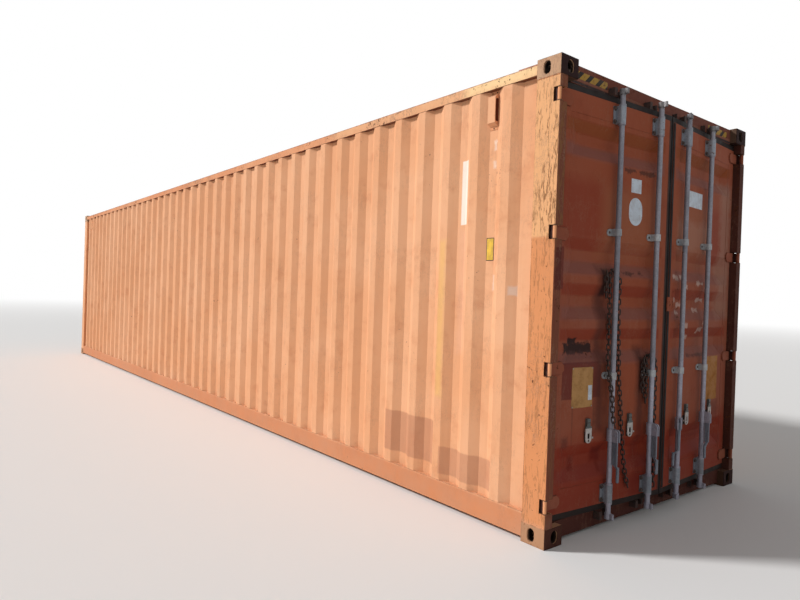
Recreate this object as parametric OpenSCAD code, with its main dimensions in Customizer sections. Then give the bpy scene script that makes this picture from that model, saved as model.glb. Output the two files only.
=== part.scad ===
// Steel freight container, forty feet long, high cube, with two doors that stand a little ajar.
// Millimetres, +Z up. X runs across the container, Y along it, and the doors are at the -Y end.
// The origin is on the ground, midway between the eight corner castings.

/* [Overall size] */
// Length over the corner castings
box_l = 12192; // [6058:1:13716]
// Width over the corner castings
box_w = 2438; // [2300:1:2600]
// Height over the corner castings
box_h = 2896; // [2700:1:3100]

/* [Corner castings] */
// Length of a casting along the container
casting_l = 178; // [170:1:190]
// Width of a casting across the container
casting_w = 162; // [155:1:175]
// Height of a casting
casting_h = 118; // [112:1:125]
// Wall of a casting on its three outer faces
casting_wall = 26; // [20:1:30]
// Wall of a casting on its inner faces
casting_back = 12; // [8:1:16]
// Distance of the top and bottom apertures from the end face
aperture_from_end = 103.5; // [95:0.5:110]
// Distance of the top and bottom apertures from the side face
aperture_from_side = 89.5; // [80:0.5:95]
// Length of the top and bottom apertures
aperture_l = 124; // [110:1:130]
// Width of the top and bottom apertures
aperture_w = 63.5; // [50:0.5:66]
// Width of the apertures in a casting's side
side_aperture_w = 51; // [44:0.5:60]
// Width of the apertures in a casting's end
end_aperture_w = 63.5; // [50:0.5:70]
// Height of the side and end apertures
side_aperture_h = 79.5; // [70:0.5:86]

/* [Posts] */
// Set-back of the posts and rails from the casting faces
frame_set = 3; // [1:0.5:8]
// Width of a rear post's front flange, measured from the casting face
jamb_w = 68; // [60:1:85]
// Depth of the door stop that stands inside the rear post
stop_w = 35; // [20:1:60]
// Wall of the rear posts
rear_post_wall = 8; // [5:0.5:9]
// Width of the front posts' side part
front_post_w = 78; // [60:1:100]
// Width of the front posts' end part
front_post_end_w = 132; // [110:1:150]
// Depth of the front posts' end part
front_post_end_d = 66; // [50:1:90]
// Wall of the front posts
front_post_wall = 6; // [4:0.5:8]

/* [Rails] */
// Underside of the bottom side rails
low_rail_z = 29; // [20:1:40]
// Top of the bottom side rails
low_rail_top = 174; // [160:1:190]
// Flange of the bottom side rails
low_rail_flange = 50; // [35:1:60]
// Steel of the bottom side rails
low_rail_t = 5; // [4:0.5:8]
// Height of the top side rails
top_rail_h = 60; // [50:1:80]
// Width of the top side rails
top_rail_w = 60; // [50:1:80]
// Wall of the top side rails
top_rail_t = 4; // [3:0.5:6]
// Drop from the casting tops to the top of the top side rails
top_rail_drop = 29; // [24:1:36]

/* [Side walls] */
// Set-back of the wall's outer flats from the casting faces
wall_set = 5; // [3:0.5:10]
// Depth of the wall's waves
wall_depth = 36; // [20:1:45]
// Width of the wall's outer flats
wall_flat = 72; // [50:1:90]
// Width of the slopes between flats
wall_slope = 68; // [40:1:80]
// Wanted spacing of the wall's waves
wall_pitch = 278; // [250:1:320]
// Plain margin between a post and the first slope
wall_margin = 130; // [60:1:160]
// Thickness of the wall sheet
wall_t = 4; // [2:0.5:6]

/* [Front wall] */
// Set-back of the front wall from the casting faces
front_set = 12; // [6:1:20]
// Depth of the front wall's waves
front_depth = 45; // [30:1:50]
// Width of the front wall's outer flats
front_flat = 110; // [80:1:120]
// Width of the front wall's slopes
front_slope = 18; // [10:1:30]
// Wanted spacing of the front wall's waves
front_pitch = 250; // [220:1:280]
// Plain margin beside the front posts
front_margin = 60; // [30:1:80]

/* [Roof] */
// Height of the roof's stamped ribs
roof_rib_h = 16; // [8:1:20]
// Width of a rib's top
roof_rib_flat = 90; // [60:1:110]
// Width of a rib's slopes
roof_rib_slope = 16; // [8:1:24]
// Wanted spacing of the ribs
roof_pitch = 209; // [180:1:260]
// Plain margin of the roof along the sides
roof_side_margin = 90; // [60:1:150]
// Plain margin of the roof between a header and the first rib
roof_end_margin = 200; // [180:1:400]
// Thickness of the roof sheet
roof_t = 4; // [2:0.5:6]
// Thickness of the plates beside the top castings
corner_plate_t = 5; // [3:0.5:6]
// Reach of these plates along the container from the header
corner_plate_l = 170; // [100:5:175]
// Reach of these plates across the container from the casting
corner_plate_w = 300; // [150:5:400]

/* [Door end frame] */
// Set-back of the header and sill faces from the casting faces
header_set = 51; // [45:1:56]
// Depth of the header and the sill
header_d = 105; // [90:1:130]
// Height of the door header
header_h = 115; // [110:1:150]
// Drop from the casting tops to the tops of the door header and front header
header_drop = 6; // [4:1:12]
// Steel of the header and sill
header_t = 5; // [4:0.5:8]
// Height of the lip behind the leaves at the header
header_lip = 35; // [15:1:50]
// Underside of the door sill
sill_z = 18; // [10:1:30]
// Top of the sill in front of the leaves
sill_top = 125; // [120:1:140]

/* [Floor] */
// Thickness of the floor boards
board_t = 28; // [20:1:32]
// Length of a floor board
board_l = 1180; // [900:10:2400]
// Gap between floor boards
board_gap = 2; // [1:0.5:4]
// Width of the steel strip along the middle of the floor
centre_strip_w = 12; // [8:1:60]
// Wanted spacing of the cross members
cross_pitch = 340; // [280:5:420]
// Flange of a cross member
cross_flange = 45; // [35:1:60]
// Steel of a cross member
cross_t = 4.5; // [3:0.5:7]
// Width of the gooseneck tunnel
tunnel_w = 1029; // [1000:1:1070]
// Length of the gooseneck tunnel
tunnel_l = 3450; // [3150:5:3600]
// Steel of the gooseneck tunnel
tunnel_t = 6; // [4:0.5:8]
// Height of the front sill
front_sill_top = 160; // [150:1:172]
// Depth of the front sill
front_sill_d = 100; // [80:1:140]
// Solid height under the front sill's upper face
front_sill_web = 20; // [10:1:30]

/* [Hinges] */
// Distance of the hinge pins from the casting faces
pin_in = 16; // [15:0.5:20]
// Radius of a hinge pin
pin_r = 7; // [5:0.5:8]
// Radius of a blade's barrel
barrel_r = 12; // [10:0.5:12.5]
// Height of a hinge blade
blade_h = 75; // [60:1:80]
// Thickness of a hinge blade
blade_t = 10; // [8:0.5:12]
// Reach of a blade from the pin onto the leaf
blade_reach = 160; // [140:1:190]
// Cut of a blade's corners at its free end
blade_cut = 22; // [10:1:30]
// Height of the slot in the post
slot_h = 85; // [80:1:100]
// Depth of the slot in the post's side face, from the casting face
slot_d = 52; // [48:1:58]
// Height of the lugs above and below a slot
lug_h = 30; // [20:1:40]
// Number of hinges on a leaf
hinges = 4; // [3:1:5]
// Height of the lowest hinge above the ground
hinge_low = 246; // [235:1:260]
// Drop from the casting tops to the highest hinge
hinge_drop = 230; // [225:1:250]

/* [Doors] */
// Angle at which both doors stand ajar
door_ajar = 4.2; // [0:0.1:6]
// Set-back of the closed leaves from the casting faces
leaf_set = 60; // [58:0.5:64]
// Thickness of a leaf's frame
leaf_t = 50; // [40:1:56]
// Gap between a leaf and the rear post
leaf_side_gap = 8; // [7:0.5:14]
// Half of the gap between the two leaves' frames
leaf_seam = 22; // [18:0.5:30]
// Gap between a leaf's frame and the header or sill
leaf_end_gap = 42; // [30:1:50]
// Width of a leaf's stiles
stile_w = 100; // [80:1:130]
// Height of a leaf's top rail
leaf_top_rail = 128; // [100:1:150]
// Height of a leaf's bottom rail
leaf_low_rail = 148; // [120:1:160]
// Step of the door panel behind its frame
panel_set = 2; // [1:0.5:4]
// Thickness of the door panel sheet
panel_t = 4; // [2:0.5:6]
// Depth of the door panel's recesses
recess_depth = 36; // [20:1:38]
// Height of a recess at the face
recess_h = 220; // [180:1:240]
// Height of a recess's flat bottom
recess_flat = 70; // [40:1:120]
// Length of the slope at both ends of a recess
recess_end = 70; // [40:1:120]
// Plain margin between a stile and a recess
recess_margin = 14; // [6:1:40]
// Height of the lowest recess's middle above the leaf's lower edge
recess_low = 293; // [270:1:320]
// Drop from the leaf's upper edge to the highest recess's middle
recess_drop = 273; // [250:1:300]
// Spacing of the three recesses round the leaf's middle
recess_step = 280; // [260:1:320]
// Clearance of the gasket from what it closes on
gasket_clear = 5; // [5:0.5:8]
// Thickness of the gasket's lip
gasket_t = 30; // [15:1:36]

/* [Lock rods] */
// Distance of the outer rods from the middle of the container
outer_rod_x = 610; // [560:1:680]
// Distance of the inner rods from the middle of the container
inner_rod_x = 190; // [170:1:230]
// Stand-off of a rod's axis from the leaf's face
rod_off = 36; // [34:0.5:38]
// Radius of a rod
rod_r = 17; // [13:0.5:19]
// Reach of a rod below the sill's upper edge
rod_low = 53; // [50:1:70]
// Reach of a rod above the header's underside
rod_high = 45; // [44:1:80]
// Turn of each rod from straight out, towards its hinges
rod_turn = [0, 0, -60, 0];
// Clearance of a rod in its brackets
rod_clear = 0.3; // [0.2:0.05:0.6]
// Metal of a rod bracket round the rod
bracket_t = 6; // [4:0.5:7]
// Width of the top and bottom brackets
bracket_w = 90; // [76:1:110]
// Height of the top and bottom brackets
bracket_h = 112; // [80:1:120]
// Height of the bottom brackets' middle above the leaf's lower edge
bracket_low = 69; // [66:1:80]
// Drop from the leaf's upper edge to the top brackets' middle
bracket_drop = 78; // [74:1:90]
// Width of the narrow brackets
narrow_w = 130; // [90:1:134]
// Height of the narrow brackets
narrow_h = 45; // [30:1:60]
// Height of the lower narrow bracket above the leaf's lower edge
narrow_low = 823; // [760:1:900]
// Drop from the leaf's upper edge to the upper narrow bracket
narrow_drop = 828; // [700:1:900]
// Radius of the bolt holes in the narrow brackets
bolt_hole_r = 6.5; // [4:0.5:8]
// Thickness of the brackets' flanges
flange_t = 6; // [4:0.5:8]
// Height of the rod's collar beside a bracket
collar_h = 10; // [6:1:16]
// Radius of the rod's collar
collar_r = 23; // [21:0.5:24]
// Height of a cam
cam_h = 34; // [26:1:40]
// Reach of a cam's nose from the rod's axis
cam_reach = 44; // [38:1:46]
// Radius of a cam's collar round its rod
cam_r = 22; // [20:0.5:24]
// Half thickness of a cam's nose
cam_half = 9; // [6:0.5:9]
// Height of the top cams' middle above the header's underside
cam_high = 26; // [22:1:34]
// Drop from the sill's upper edge to the bottom cams' middle
cam_low = 33; // [28:1:44]
// Clearance between a cam and its keeper
keeper_clear = 5; // [5:0.5:7]
// Metal of a keeper
keeper_t = 8; // [6:0.5:8]
// Distance of a keeper's plain prong from the rod's axis
prong_in = 46; // [46:0.5:54]

/* [Handles] */
// Height of the handle's pivot above the ground
handle_z = 612; // [590:1:640]
// Distance of the pivot from the rod's axis
pivot_out = 38; // [36:0.5:44]
// Radius of the pivot pin
pivot_r = 6; // [4:0.5:7]
// Clearance of the handle on its pin and between the ears
pivot_clear = 0.05; // [0.03:0.01:0.1]
// Radius of the pivot pin's heads
head_r = 12; // [8:0.5:14]
// Thickness of the pivot pin's heads
head_t = 3; // [2:0.5:5]
// Height of a hub
hub_h = 80; // [60:1:100]
// Radius of a hub round its rod
hub_r = 25; // [23:0.5:26]
// Reach of a hub's ears from the rod's axis
ear_out = 62; // [60:1:68]
// Thickness of a hub's ears
ear_t = 8; // [6:0.5:9]
// Radius of the ears' upper outer corners
ear_round = 24; // [10:1:30]
// Length of a handle from its pivot
handle_l = 306; // [280:1:310]
// Length of a handle's flat arm from its pivot
arm_l = 186; // [170:1:200]
// Width of a handle's flat arm
arm_w = 33; // [28:1:34]
// Thickness of a handle's flat arm
arm_t = 12; // [8:0.5:14]
// Width of the grooves in the flat arm
groove_w = 11; // [6:1:16]
// Depth of the grooves in the flat arm
groove_d = 3.5; // [1:0.5:4]
// Lengths from the pivot at which the grooves begin and end
groove_from = 80; // [60:1:100]
// Length from the pivot at which the grooves end
groove_to = 176; // [120:1:180]
// Sideways step from the arm to the grip
grip_step = 32; // [10:1:36]
// Length over which a handle steps sideways
step_l = 30; // [24:1:50]
// Radius of a handle's round grip
grip_r = 10; // [8:0.5:12]
// Distance of a handle catch from its rod
catch_out = 190; // [180:1:220]
// Width of a catch's plate
catch_w = 56; // [40:1:60]
// Height of a catch's plate
catch_h = 104; // [90:1:120]
// Drop from the handle's pivot to the catch plate's lower end
catch_drop = 38; // [30:1:45]
// Thickness of a catch's plate
catch_t = 5; // [3:0.5:7]
// Depth of the block that a catch hangs from
catch_block_d = 18; // [12:1:22]
// Width of that block
catch_block_w = 30; // [20:1:40]
// Height of that block
catch_block_h = 48; // [30:1:60]
// Width of the catch's slot
catch_slot_w = 20; // [10:1:26]
// Height of the catch's slot
catch_slot_h = 34; // [20:1:40]
// Radius of the catch's seal hole
catch_hole_r = 8; // [4:0.5:10]

/* [Tab] */
// Width of the tab at the seam
tab_w = 92; // [60:1:120]
// Height of the tab
tab_h = 100; // [60:1:140]
// Thickness of the tab
tab_t = 6; // [4:0.5:10]
// Height of the tab's middle above the ground
tab_z = 1460; // [1300:1:1600]

/* [Vents] */
// Width of a side vent
vent_w = 64; // [50:1:68]
// Height of a side vent
vent_h = 210; // [160:5:240]
// Drop from the top rail's underside to a side vent's middle
vent_drop = 127; // [120:1:200]
// Depth of a side vent
vent_d = 34; // [20:1:35]
// Height of a vent's sloping ends
vent_slope = 20; // [10:1:40]
// Width of the tall slot through a vent
vent_slot_w = 24; // [10:1:26]
// Height of that slot
vent_slot_h = 146; // [100:1:150]
// Metal of a vent in front of the slot
vent_skin = 6; // [3:0.5:8]
// Wave, counted from the door end, behind which a vent sits
vent_wave = 1; // [1:1:4]

/* [Hidden] */
$fn = 48;

// Enough overlap or overcut to make a boolean clean
eps = 1;
// Gap at a piece that is fitted round another
seat = 0.3;

half_w = box_w / 2;
half_l = box_l / 2;
wall_x = half_w - wall_set;
post_y = half_l - casting_l;
rail_x = half_w - frame_set;
top_rail_top = box_h - top_rail_drop;
top_rail_z = top_rail_top - top_rail_h;
header_top = box_h - header_drop;
header_z = header_top - header_h;
floor_top = low_rail_top - 1;
board_z = floor_top - board_t;
cross_z = low_rail_z + low_rail_t;
cross_half = rail_x - low_rail_t;
board_half = rail_x - low_rail_flange;

// Plan position of the left hinge pin, and the closed left leaf round it
pin_x = -half_w + pin_in;
pin_y = -half_l + pin_in;
face_y = -half_l + leaf_set;
leaf_x0 = -half_w + jamb_w + leaf_side_gap;
leaf_x1 = -leaf_seam;
leaf_z0 = sill_top + leaf_end_gap;
leaf_z1 = header_z - leaf_end_gap;
header_y = -half_l + header_set;
header_back = header_y + header_d;
jamb_x = half_w - jamb_w;
stop_x = jamb_x - stop_w;
front_header_y = half_l - frame_set - front_post_end_d;
tunnel_y = half_l - tunnel_l;
front_sill_y = half_l - frame_set - front_sill_d;
stop_y = face_y + leaf_t + 16;
panel_x0 = leaf_x0 + stile_w;
panel_x1 = leaf_x1 - stile_w;
panel_z0 = leaf_z0 + leaf_low_rail;
panel_z1 = leaf_z1 - leaf_top_rail;
panel_y = face_y + panel_set;
rod_y = face_y - rod_off;
bore_r = rod_r + rod_clear;
shell_r = bore_r + bracket_t;
ear_gap = arm_t / 2 + seat;
cam_z = [sill_top - cam_low, header_z + cam_high];
rod_z0 = sill_top - rod_low;
rod_z1 = header_z + rod_high;
top_bracket_z = leaf_z1 - bracket_drop;
low_bracket_z = leaf_z0 + bracket_low;
narrow_z = [leaf_z0 + narrow_low, leaf_z1 - narrow_drop];
hinge_z = [for (k = [0 : hinges - 1])
    hinge_low + k * (box_h - hinge_drop - hinge_low) / (hinges - 1)];
recess_mid = (leaf_z0 + recess_low + leaf_z1 - recess_drop) / 2;
recess_z = [leaf_z0 + recess_low, recess_mid - recess_step, recess_mid, recess_mid + recess_step,
            leaf_z1 - recess_drop];
vent_z = top_rail_z - vent_drop;

PAINT = [0.80, 0.47, 0.33];
DOOR_PAINT = [0.55, 0.28, 0.20];
ZINC = [0.66, 0.66, 0.64];
RUBBER = [0.08, 0.08, 0.08];
STEEL = [0.36, 0.24, 0.18];
PLYWOOD = [0.56, 0.40, 0.25];

// Points of a row of trapezoid waves: [distance along, depth], for n waves round the centres c0 + k * pitch
function wave(c0, pitch, n, flat, slope, depth) = [
    for (k = [0 : n - 1]) each [
        [c0 + k * pitch - flat / 2 - slope, depth],
        [c0 + k * pitch - flat / 2, 0],
        [c0 + k * pitch + flat / 2, 0],
        [c0 + k * pitch + flat / 2 + slope, depth]
    ]
];

function reversed(list) = [for (i = [len(list) - 1 : -1 : 0]) list[i]];

// Outline of a sheet of thickness t that follows a line of [distance, depth] points
function sheet(line, t) = concat(line, [for (p = reversed(line)) [p[0], p[1] + t]]);

module both_sides() {
    children();
    mirror([1, 0, 0]) children();
}

module both_ends() {
    children();
    mirror([0, 1, 0]) children();
}

// A hole with round ends, w wide and h long along Y, cut along Z
module slot_cut(w, h, depth) {
    for (s = [-1, 1]) translate([0, s * (h - w) / 2, 0]) cylinder(r = w / 2, h = depth);
    translate([-w / 2, -(h - w) / 2, 0]) cube([w, h - w, depth]);
}

// Casting at the left corner of the door end, standing on z = 0
module casting() {
    side = casting_wall + 2 * eps;
    difference() {
        translate([-half_w, -half_l, 0]) cube([casting_w, casting_l, casting_h]);
        translate([-half_w + casting_wall, -half_l + casting_wall, casting_wall])
            cube([casting_w - casting_wall - casting_back, casting_l - casting_wall - casting_back,
                  casting_h - casting_wall - casting_back]);
        translate([-half_w + aperture_from_side, -half_l + aperture_from_end, -eps])
            slot_cut(aperture_w, aperture_l, side);
        translate([-half_w - eps, -half_l + aperture_from_end, casting_h / 2])
            rotate([90, 0, 90]) slot_cut(side_aperture_w, side_aperture_h, side);
        translate([-half_w + aperture_from_side, -half_l - eps, casting_h / 2])
            rotate([-90, 0, 0]) slot_cut(end_aperture_w, side_aperture_h, side);
    }
}

module corner_castings_bottom() {
    color(PAINT) both_ends() both_sides() casting();
}

module corner_castings_top() {
    color(PAINT) both_ends() both_sides() translate([0, 0, box_h]) mirror([0, 0, 1]) casting();
}

// Closed outline of the left rear post, moved inwards by g
module rear_post_outline(g) {
    x0 = -half_w + frame_set + g;
    x1 = -half_w + jamb_w - g;
    x2 = x1 + stop_w;
    y0 = -half_l + frame_set + g;
    y1 = stop_y + g;
    y2 = -post_y - g;
    polygon([[x0, y0], [x1, y0], [x1, y1], [x2, y1], [x2, y2], [x0, y2]]);
}

// Room for one hinge: open at the post's corner, and deeper behind the side face
module hinge_slot() {
    skin = 3;
    room = leaf_set - pin_in + 6;
    translate([-half_w - eps, -half_l - eps, -slot_h / 2])
        cube([skin + frame_set + 2 * eps, slot_d + eps, slot_h]);
    translate([-half_w + frame_set + skin, -half_l - eps, -slot_h / 2])
        cube([jamb_w - frame_set - skin + eps, pin_in + room + eps, slot_h]);
}

module rear_post() {
    lug = 2 * (pin_in - frame_set) + 4;
    difference() {
        union() {
            translate([0, 0, casting_h]) linear_extrude(box_h - 2 * casting_h) difference() {
                rear_post_outline(0);
                rear_post_outline(rear_post_wall);
            }
            for (z = hinge_z)
                translate([-half_w + frame_set, -half_l + frame_set, z - slot_h / 2 - lug_h])
                    cube([lug, lug, slot_h + 2 * lug_h]);
        }
        for (z = hinge_z) {
            translate([0, 0, z]) hinge_slot();
            translate([pin_x, pin_y, z - slot_h / 2 - lug_h - eps])
                cylinder(r = pin_r + pivot_clear, h = slot_h + 2 * lug_h + 2 * eps);
        }
    }
}

module rear_post_left() {
    color(PAINT) rear_post();
}

module rear_post_right() {
    color(PAINT) mirror([1, 0, 0]) rear_post();
}

module hinge_pins() {
    color(STEEL) both_sides() for (z = hinge_z)
        translate([pin_x, pin_y, z - slot_h / 2 - lug_h]) cylinder(r = pin_r, h = slot_h + 2 * lug_h);
}

module front_post_outline(g) {
    x0 = -half_w + frame_set + g;
    x1 = -half_w + front_post_w - g;
    x2 = -half_w + front_post_end_w - g;
    y0 = half_l - frame_set - g;
    y1 = half_l - frame_set - front_post_end_d + g;
    y2 = post_y + g;
    polygon([[x0, y0], [x2, y0], [x2, y1], [x1, y1], [x1, y2], [x0, y2]]);
}

module front_posts() {
    color(PAINT) both_sides() translate([0, 0, casting_h])
        linear_extrude(box_h - 2 * casting_h) difference() {
            front_post_outline(0);
            front_post_outline(front_post_wall);
        }
}

// A straight bar along Y between the castings, from its outline in X and Z
module along_y(y0, y1) {
    translate([0, y1, 0]) rotate([90, 0, 0]) linear_extrude(y1 - y0) children();
}

// A straight bar along X from its outline in Y and Z
module along_x(x0, x1) {
    translate([x0, 0, 0]) rotate([90, 0, 90]) linear_extrude(x1 - x0) children();
}

module top_side_rails() {
    color(PAINT) both_sides() along_y(-post_y, post_y) difference() {
        translate([-rail_x, top_rail_z]) square([top_rail_w, top_rail_h]);
        translate([-rail_x + top_rail_t, top_rail_z + top_rail_t])
            square([top_rail_w - 2 * top_rail_t, top_rail_h - 2 * top_rail_t]);
    }
}

module bottom_side_rails() {
    h = low_rail_top - low_rail_z;
    color(PAINT) both_sides() along_y(-post_y, post_y) difference() {
        translate([-rail_x, low_rail_z]) square([low_rail_flange, h]);
        translate([-rail_x + low_rail_t, low_rail_z + low_rail_t])
            square([low_rail_flange, h - 2 * low_rail_t]);
    }
}

module side_wall() {
    first = -post_y + wall_margin + wall_slope + wall_flat / 2;
    gaps = round(-2 * first / wall_pitch);
    pitch = -2 * first / gaps;
    line = concat(
        [[-post_y, wall_depth]],
        wave(first, pitch, gaps + 1, wall_flat, wall_slope, wall_depth),
        [[post_y, wall_depth]]
    );
    outline = [for (p = sheet(line, wall_t)) [p[1] - wall_x, p[0]]];
    translate([0, 0, low_rail_top]) linear_extrude(top_rail_z - low_rail_top) polygon(outline);
}

module side_wall_left() {
    color(PAINT) side_wall();
}

module side_wall_right() {
    color(PAINT) mirror([1, 0, 0]) side_wall();
}

// A vent's cover: a box with sloping ends, and a tall round-ended slot through it
module side_vent() {
    first = -post_y + wall_margin + wall_slope + wall_flat / 2;
    gaps = round(-2 * first / wall_pitch);
    pitch = -2 * first / gaps;
    y = first + (vent_wave - 0.5) * pitch;
    x1 = -wall_x + wall_depth;
    x0 = x1 - vent_d;
    translate([0, 0, vent_z]) difference() {
        along_y(y - vent_w / 2, y + vent_w / 2) polygon([
            [x0, -vent_h / 2 + vent_slope], [x1, -vent_h / 2],
            [x1, vent_h / 2], [x0, vent_h / 2 - vent_slope]
        ]);
        translate([x0 + vent_skin + vent_slot_w / 2, y + vent_w / 2 + eps, 0])
            rotate([90, 0, 0]) slot_cut(vent_slot_w, vent_slot_h, vent_w + 2 * eps);
    }
}

module side_vents() {
    color(PAINT) both_ends() both_sides() side_vent();
}

module front_wall() {
    edge = half_w - front_post_end_w;
    first = -edge + front_margin + front_slope + front_flat / 2;
    gaps = round(-2 * first / front_pitch);
    pitch = -2 * first / gaps;
    line = concat(
        [[-edge, front_depth]],
        wave(first, pitch, gaps + 1, front_flat, front_slope, front_depth),
        [[edge, front_depth]]
    );
    outline = [for (p = sheet(line, wall_t)) [p[0], half_l - front_set - p[1]]];
    color(PAINT) translate([0, 0, front_sill_top])
        linear_extrude(box_h - casting_h - front_sill_top) polygon(outline);
}

module front_header() {
    x = half_w - casting_w;
    y0 = half_l - frame_set - front_post_end_d;
    y1 = half_l - frame_set;
    color(PAINT) along_x(-x, x) difference() {
        translate([y0, box_h - casting_h]) square([y1 - y0, casting_h - header_drop]);
        translate([y0 + header_t, box_h - casting_h + header_t])
            square([y1 - y0 - 2 * header_t, casting_h - header_drop - 2 * header_t]);
    }
}

module front_sill() {
    x = half_w - casting_w;
    edge = half_w - front_post_end_w;
    y1 = half_l - frame_set;
    y0 = y1 - front_sill_d;
    color(PAINT) difference() {
        union() {
            translate([-x, y0, sill_z]) cube([2 * x, front_sill_d, front_sill_top - sill_z]);
            translate([-edge, y1 - front_post_end_d, casting_h])
                cube([2 * edge, front_post_end_d, front_sill_top - casting_h]);
        }
        translate([-tunnel_w / 2, y0 - eps, sill_z - eps])
            cube([tunnel_w, front_sill_d + 2 * eps, board_z - tunnel_t - sill_z + eps]);
        both_sides() translate([-x + header_t, y0 - eps, sill_z + header_t])
            cube([x - tunnel_w / 2 - 2 * header_t, front_sill_d - header_t + eps,
                  front_sill_top - sill_z - 2 * header_t - front_sill_web]);
    }
}

module door_header() {
    x = half_w - casting_w;
    color(PAINT) {
        along_x(-x, x) difference() {
            translate([header_y, header_z]) square([header_d, header_top - header_z]);
            translate([header_y + header_t, header_z + header_t])
                square([header_d - 2 * header_t, header_top - header_z - 2 * header_t]);
        }
        translate([-stop_x, stop_y, header_z - header_lip]) cube([2 * stop_x, header_t, header_lip]);
    }
}

module door_sill() {
    x = half_w - casting_w;
    y1 = header_y + header_d;
    outline = [[header_y, sill_z], [header_y, sill_top], [stop_y, sill_top], [stop_y, floor_top],
               [y1, floor_top], [y1, sill_z]];
    t = header_t;
    hollow = [[header_y + t, sill_z + t], [header_y + t, sill_top - t], [stop_y + t, sill_top - t],
              [stop_y + t, floor_top - t], [y1 - t, floor_top - t], [y1 - t, sill_z + t]];
    color(PAINT) {
        along_x(-x, x) difference() {
            polygon(outline);
            polygon(hollow);
        }
        translate([-jamb_x, header_y, casting_h]) cube([2 * jamb_x, stop_y - header_y, sill_top - casting_h]);
        translate([-stop_x, stop_y, casting_h]) cube([2 * stop_x, header_t, floor_top - casting_h]);
    }
}

// Ribbed roof: one plain sheet with stamped ribs that stop short of all four edges
module rib_solid(rise, grow) {
    x = half_w - frame_set - roof_side_margin;
    first = header_back + roof_end_margin + roof_rib_slope + roof_rib_flat / 2;
    last = front_header_y - roof_end_margin - roof_rib_slope - roof_rib_flat / 2;
    gaps = round((last - first) / roof_pitch);
    pitch = (last - first) / gaps;
    base = top_rail_top;
    intersection() {
        along_x(-x, x) for (k = [0 : gaps]) polygon([
            [first + k * pitch - roof_rib_flat / 2 - roof_rib_slope + grow, base],
            [first + k * pitch - roof_rib_flat / 2 + grow, base + rise],
            [first + k * pitch + roof_rib_flat / 2 - grow, base + rise],
            [first + k * pitch + roof_rib_flat / 2 + roof_rib_slope - grow, base]
        ]);
        along_y(-half_l, half_l) polygon([
            [-x + grow, base], [-x + roof_rib_slope + grow, base + rise],
            [x - roof_rib_slope - grow, base + rise], [x - grow, base]
        ]);
    }
}

module roof_panel() {
    color(PAINT) difference() {
        union() {
            translate([-rail_x, header_back, top_rail_top])
                cube([2 * rail_x, front_header_y - header_back, roof_t]);
            rib_solid(roof_rib_h + roof_t, 0);
        }
        translate([0, 0, -eps]) rib_solid(roof_rib_h + eps, roof_t);
        both_ends() both_sides() translate([-half_w, -half_l, top_rail_top - eps])
            cube([casting_w + seat, casting_l + seat, roof_t + 2 * eps]);
    }
}

// Doubling plates on the roof beside each top casting
module roof_corner_plates() {
    z = top_rail_top + roof_t;
    w = casting_w + corner_plate_w;
    color(PAINT) both_sides() difference() {
        union() {
            translate([-half_w + frame_set, header_back, z])
                cube([w - frame_set, corner_plate_l, corner_plate_t]);
            translate([-half_w + frame_set, front_header_y - corner_plate_l, z])
                cube([w - frame_set, corner_plate_l, corner_plate_t]);
        }
        both_ends() translate([-half_w, -half_l, z - eps])
            cube([casting_w + seat, casting_l + seat, corner_plate_t + 2 * eps]);
    }
}

// Keeper for one cam: a hook on the hinge side of the rod and a plain prong on the other
module keeper(x, z) {
    out = cam_half + keeper_clear;
    far = cam_reach + keeper_clear;
    near = rod_r + 6 + keeper_clear;
    translate([x, 0, z - cam_h / 2 - keeper_t]) linear_extrude(cam_h + 2 * keeper_t) {
        polygon([
            [-far - keeper_t, header_y], [-far - keeper_t, rod_y - out - keeper_t],
            [-near, rod_y - out - keeper_t], [-near, rod_y - out], [-far, rod_y - out], [-far, header_y]
        ]);
        polygon([
            [prong_in, header_y], [prong_in, rod_y - cam_half + keeper_t],
            [prong_in + keeper_t, rod_y - cam_half], [prong_in + keeper_t, header_y]
        ]);
    }
}

module cam_keepers() {
    color(STEEL) both_sides() for (x = [-outer_rod_x, -inner_rod_x], z = cam_z) keeper(x, z);
}

module floor_boards() {
    n = round((front_sill_y - header_back) / board_l);
    pitch = (front_sill_y - header_back) / n;
    color(PLYWOOD) both_sides() difference() {
        for (k = [0 : n - 1]) translate([-board_half, header_back + k * pitch, board_z])
            cube([board_half - centre_strip_w / 2, pitch - board_gap, board_t]);
        translate([-half_w, -half_l, board_z - eps])
            cube([half_w - stop_x + seat, casting_l + seat, board_t + 2 * eps]);
        translate([-half_w, post_y - seat, board_z - eps])
            cube([front_post_w + seat, casting_l + seat, board_t + 2 * eps]);
    }
}

// Places of beams of width w, spread evenly between y0 and y1 at about the wanted spacing
function spread(y0, y1, w, pitch) =
    let (n = max(1, round((y1 - y0) / pitch) - 1), gap = (y1 - y0 - w * n) / (n + 1))
    [for (k = [0 : n - 1]) y0 + gap + k * (w + gap)];

// Outline of a floor beam in Y and Z: a channel that is open towards the front
function channel(y) = [
    [y, cross_z], [y + cross_flange, cross_z], [y + cross_flange, cross_z + cross_t],
    [y + cross_t, cross_z + cross_t], [y + cross_t, board_z - cross_t],
    [y + cross_flange, board_z - cross_t], [y + cross_flange, board_z], [y, board_z]
];

module cross_members() {
    color(PAINT) {
        for (y = spread(header_back, tunnel_y, cross_flange, cross_pitch))
            along_x(-cross_half, cross_half) polygon(channel(y));
        for (y = spread(tunnel_y + cross_flange, front_sill_y, cross_flange, cross_pitch))
            both_sides() along_x(-cross_half, -tunnel_w / 2 - tunnel_t) polygon(channel(y));
    }
}

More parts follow.
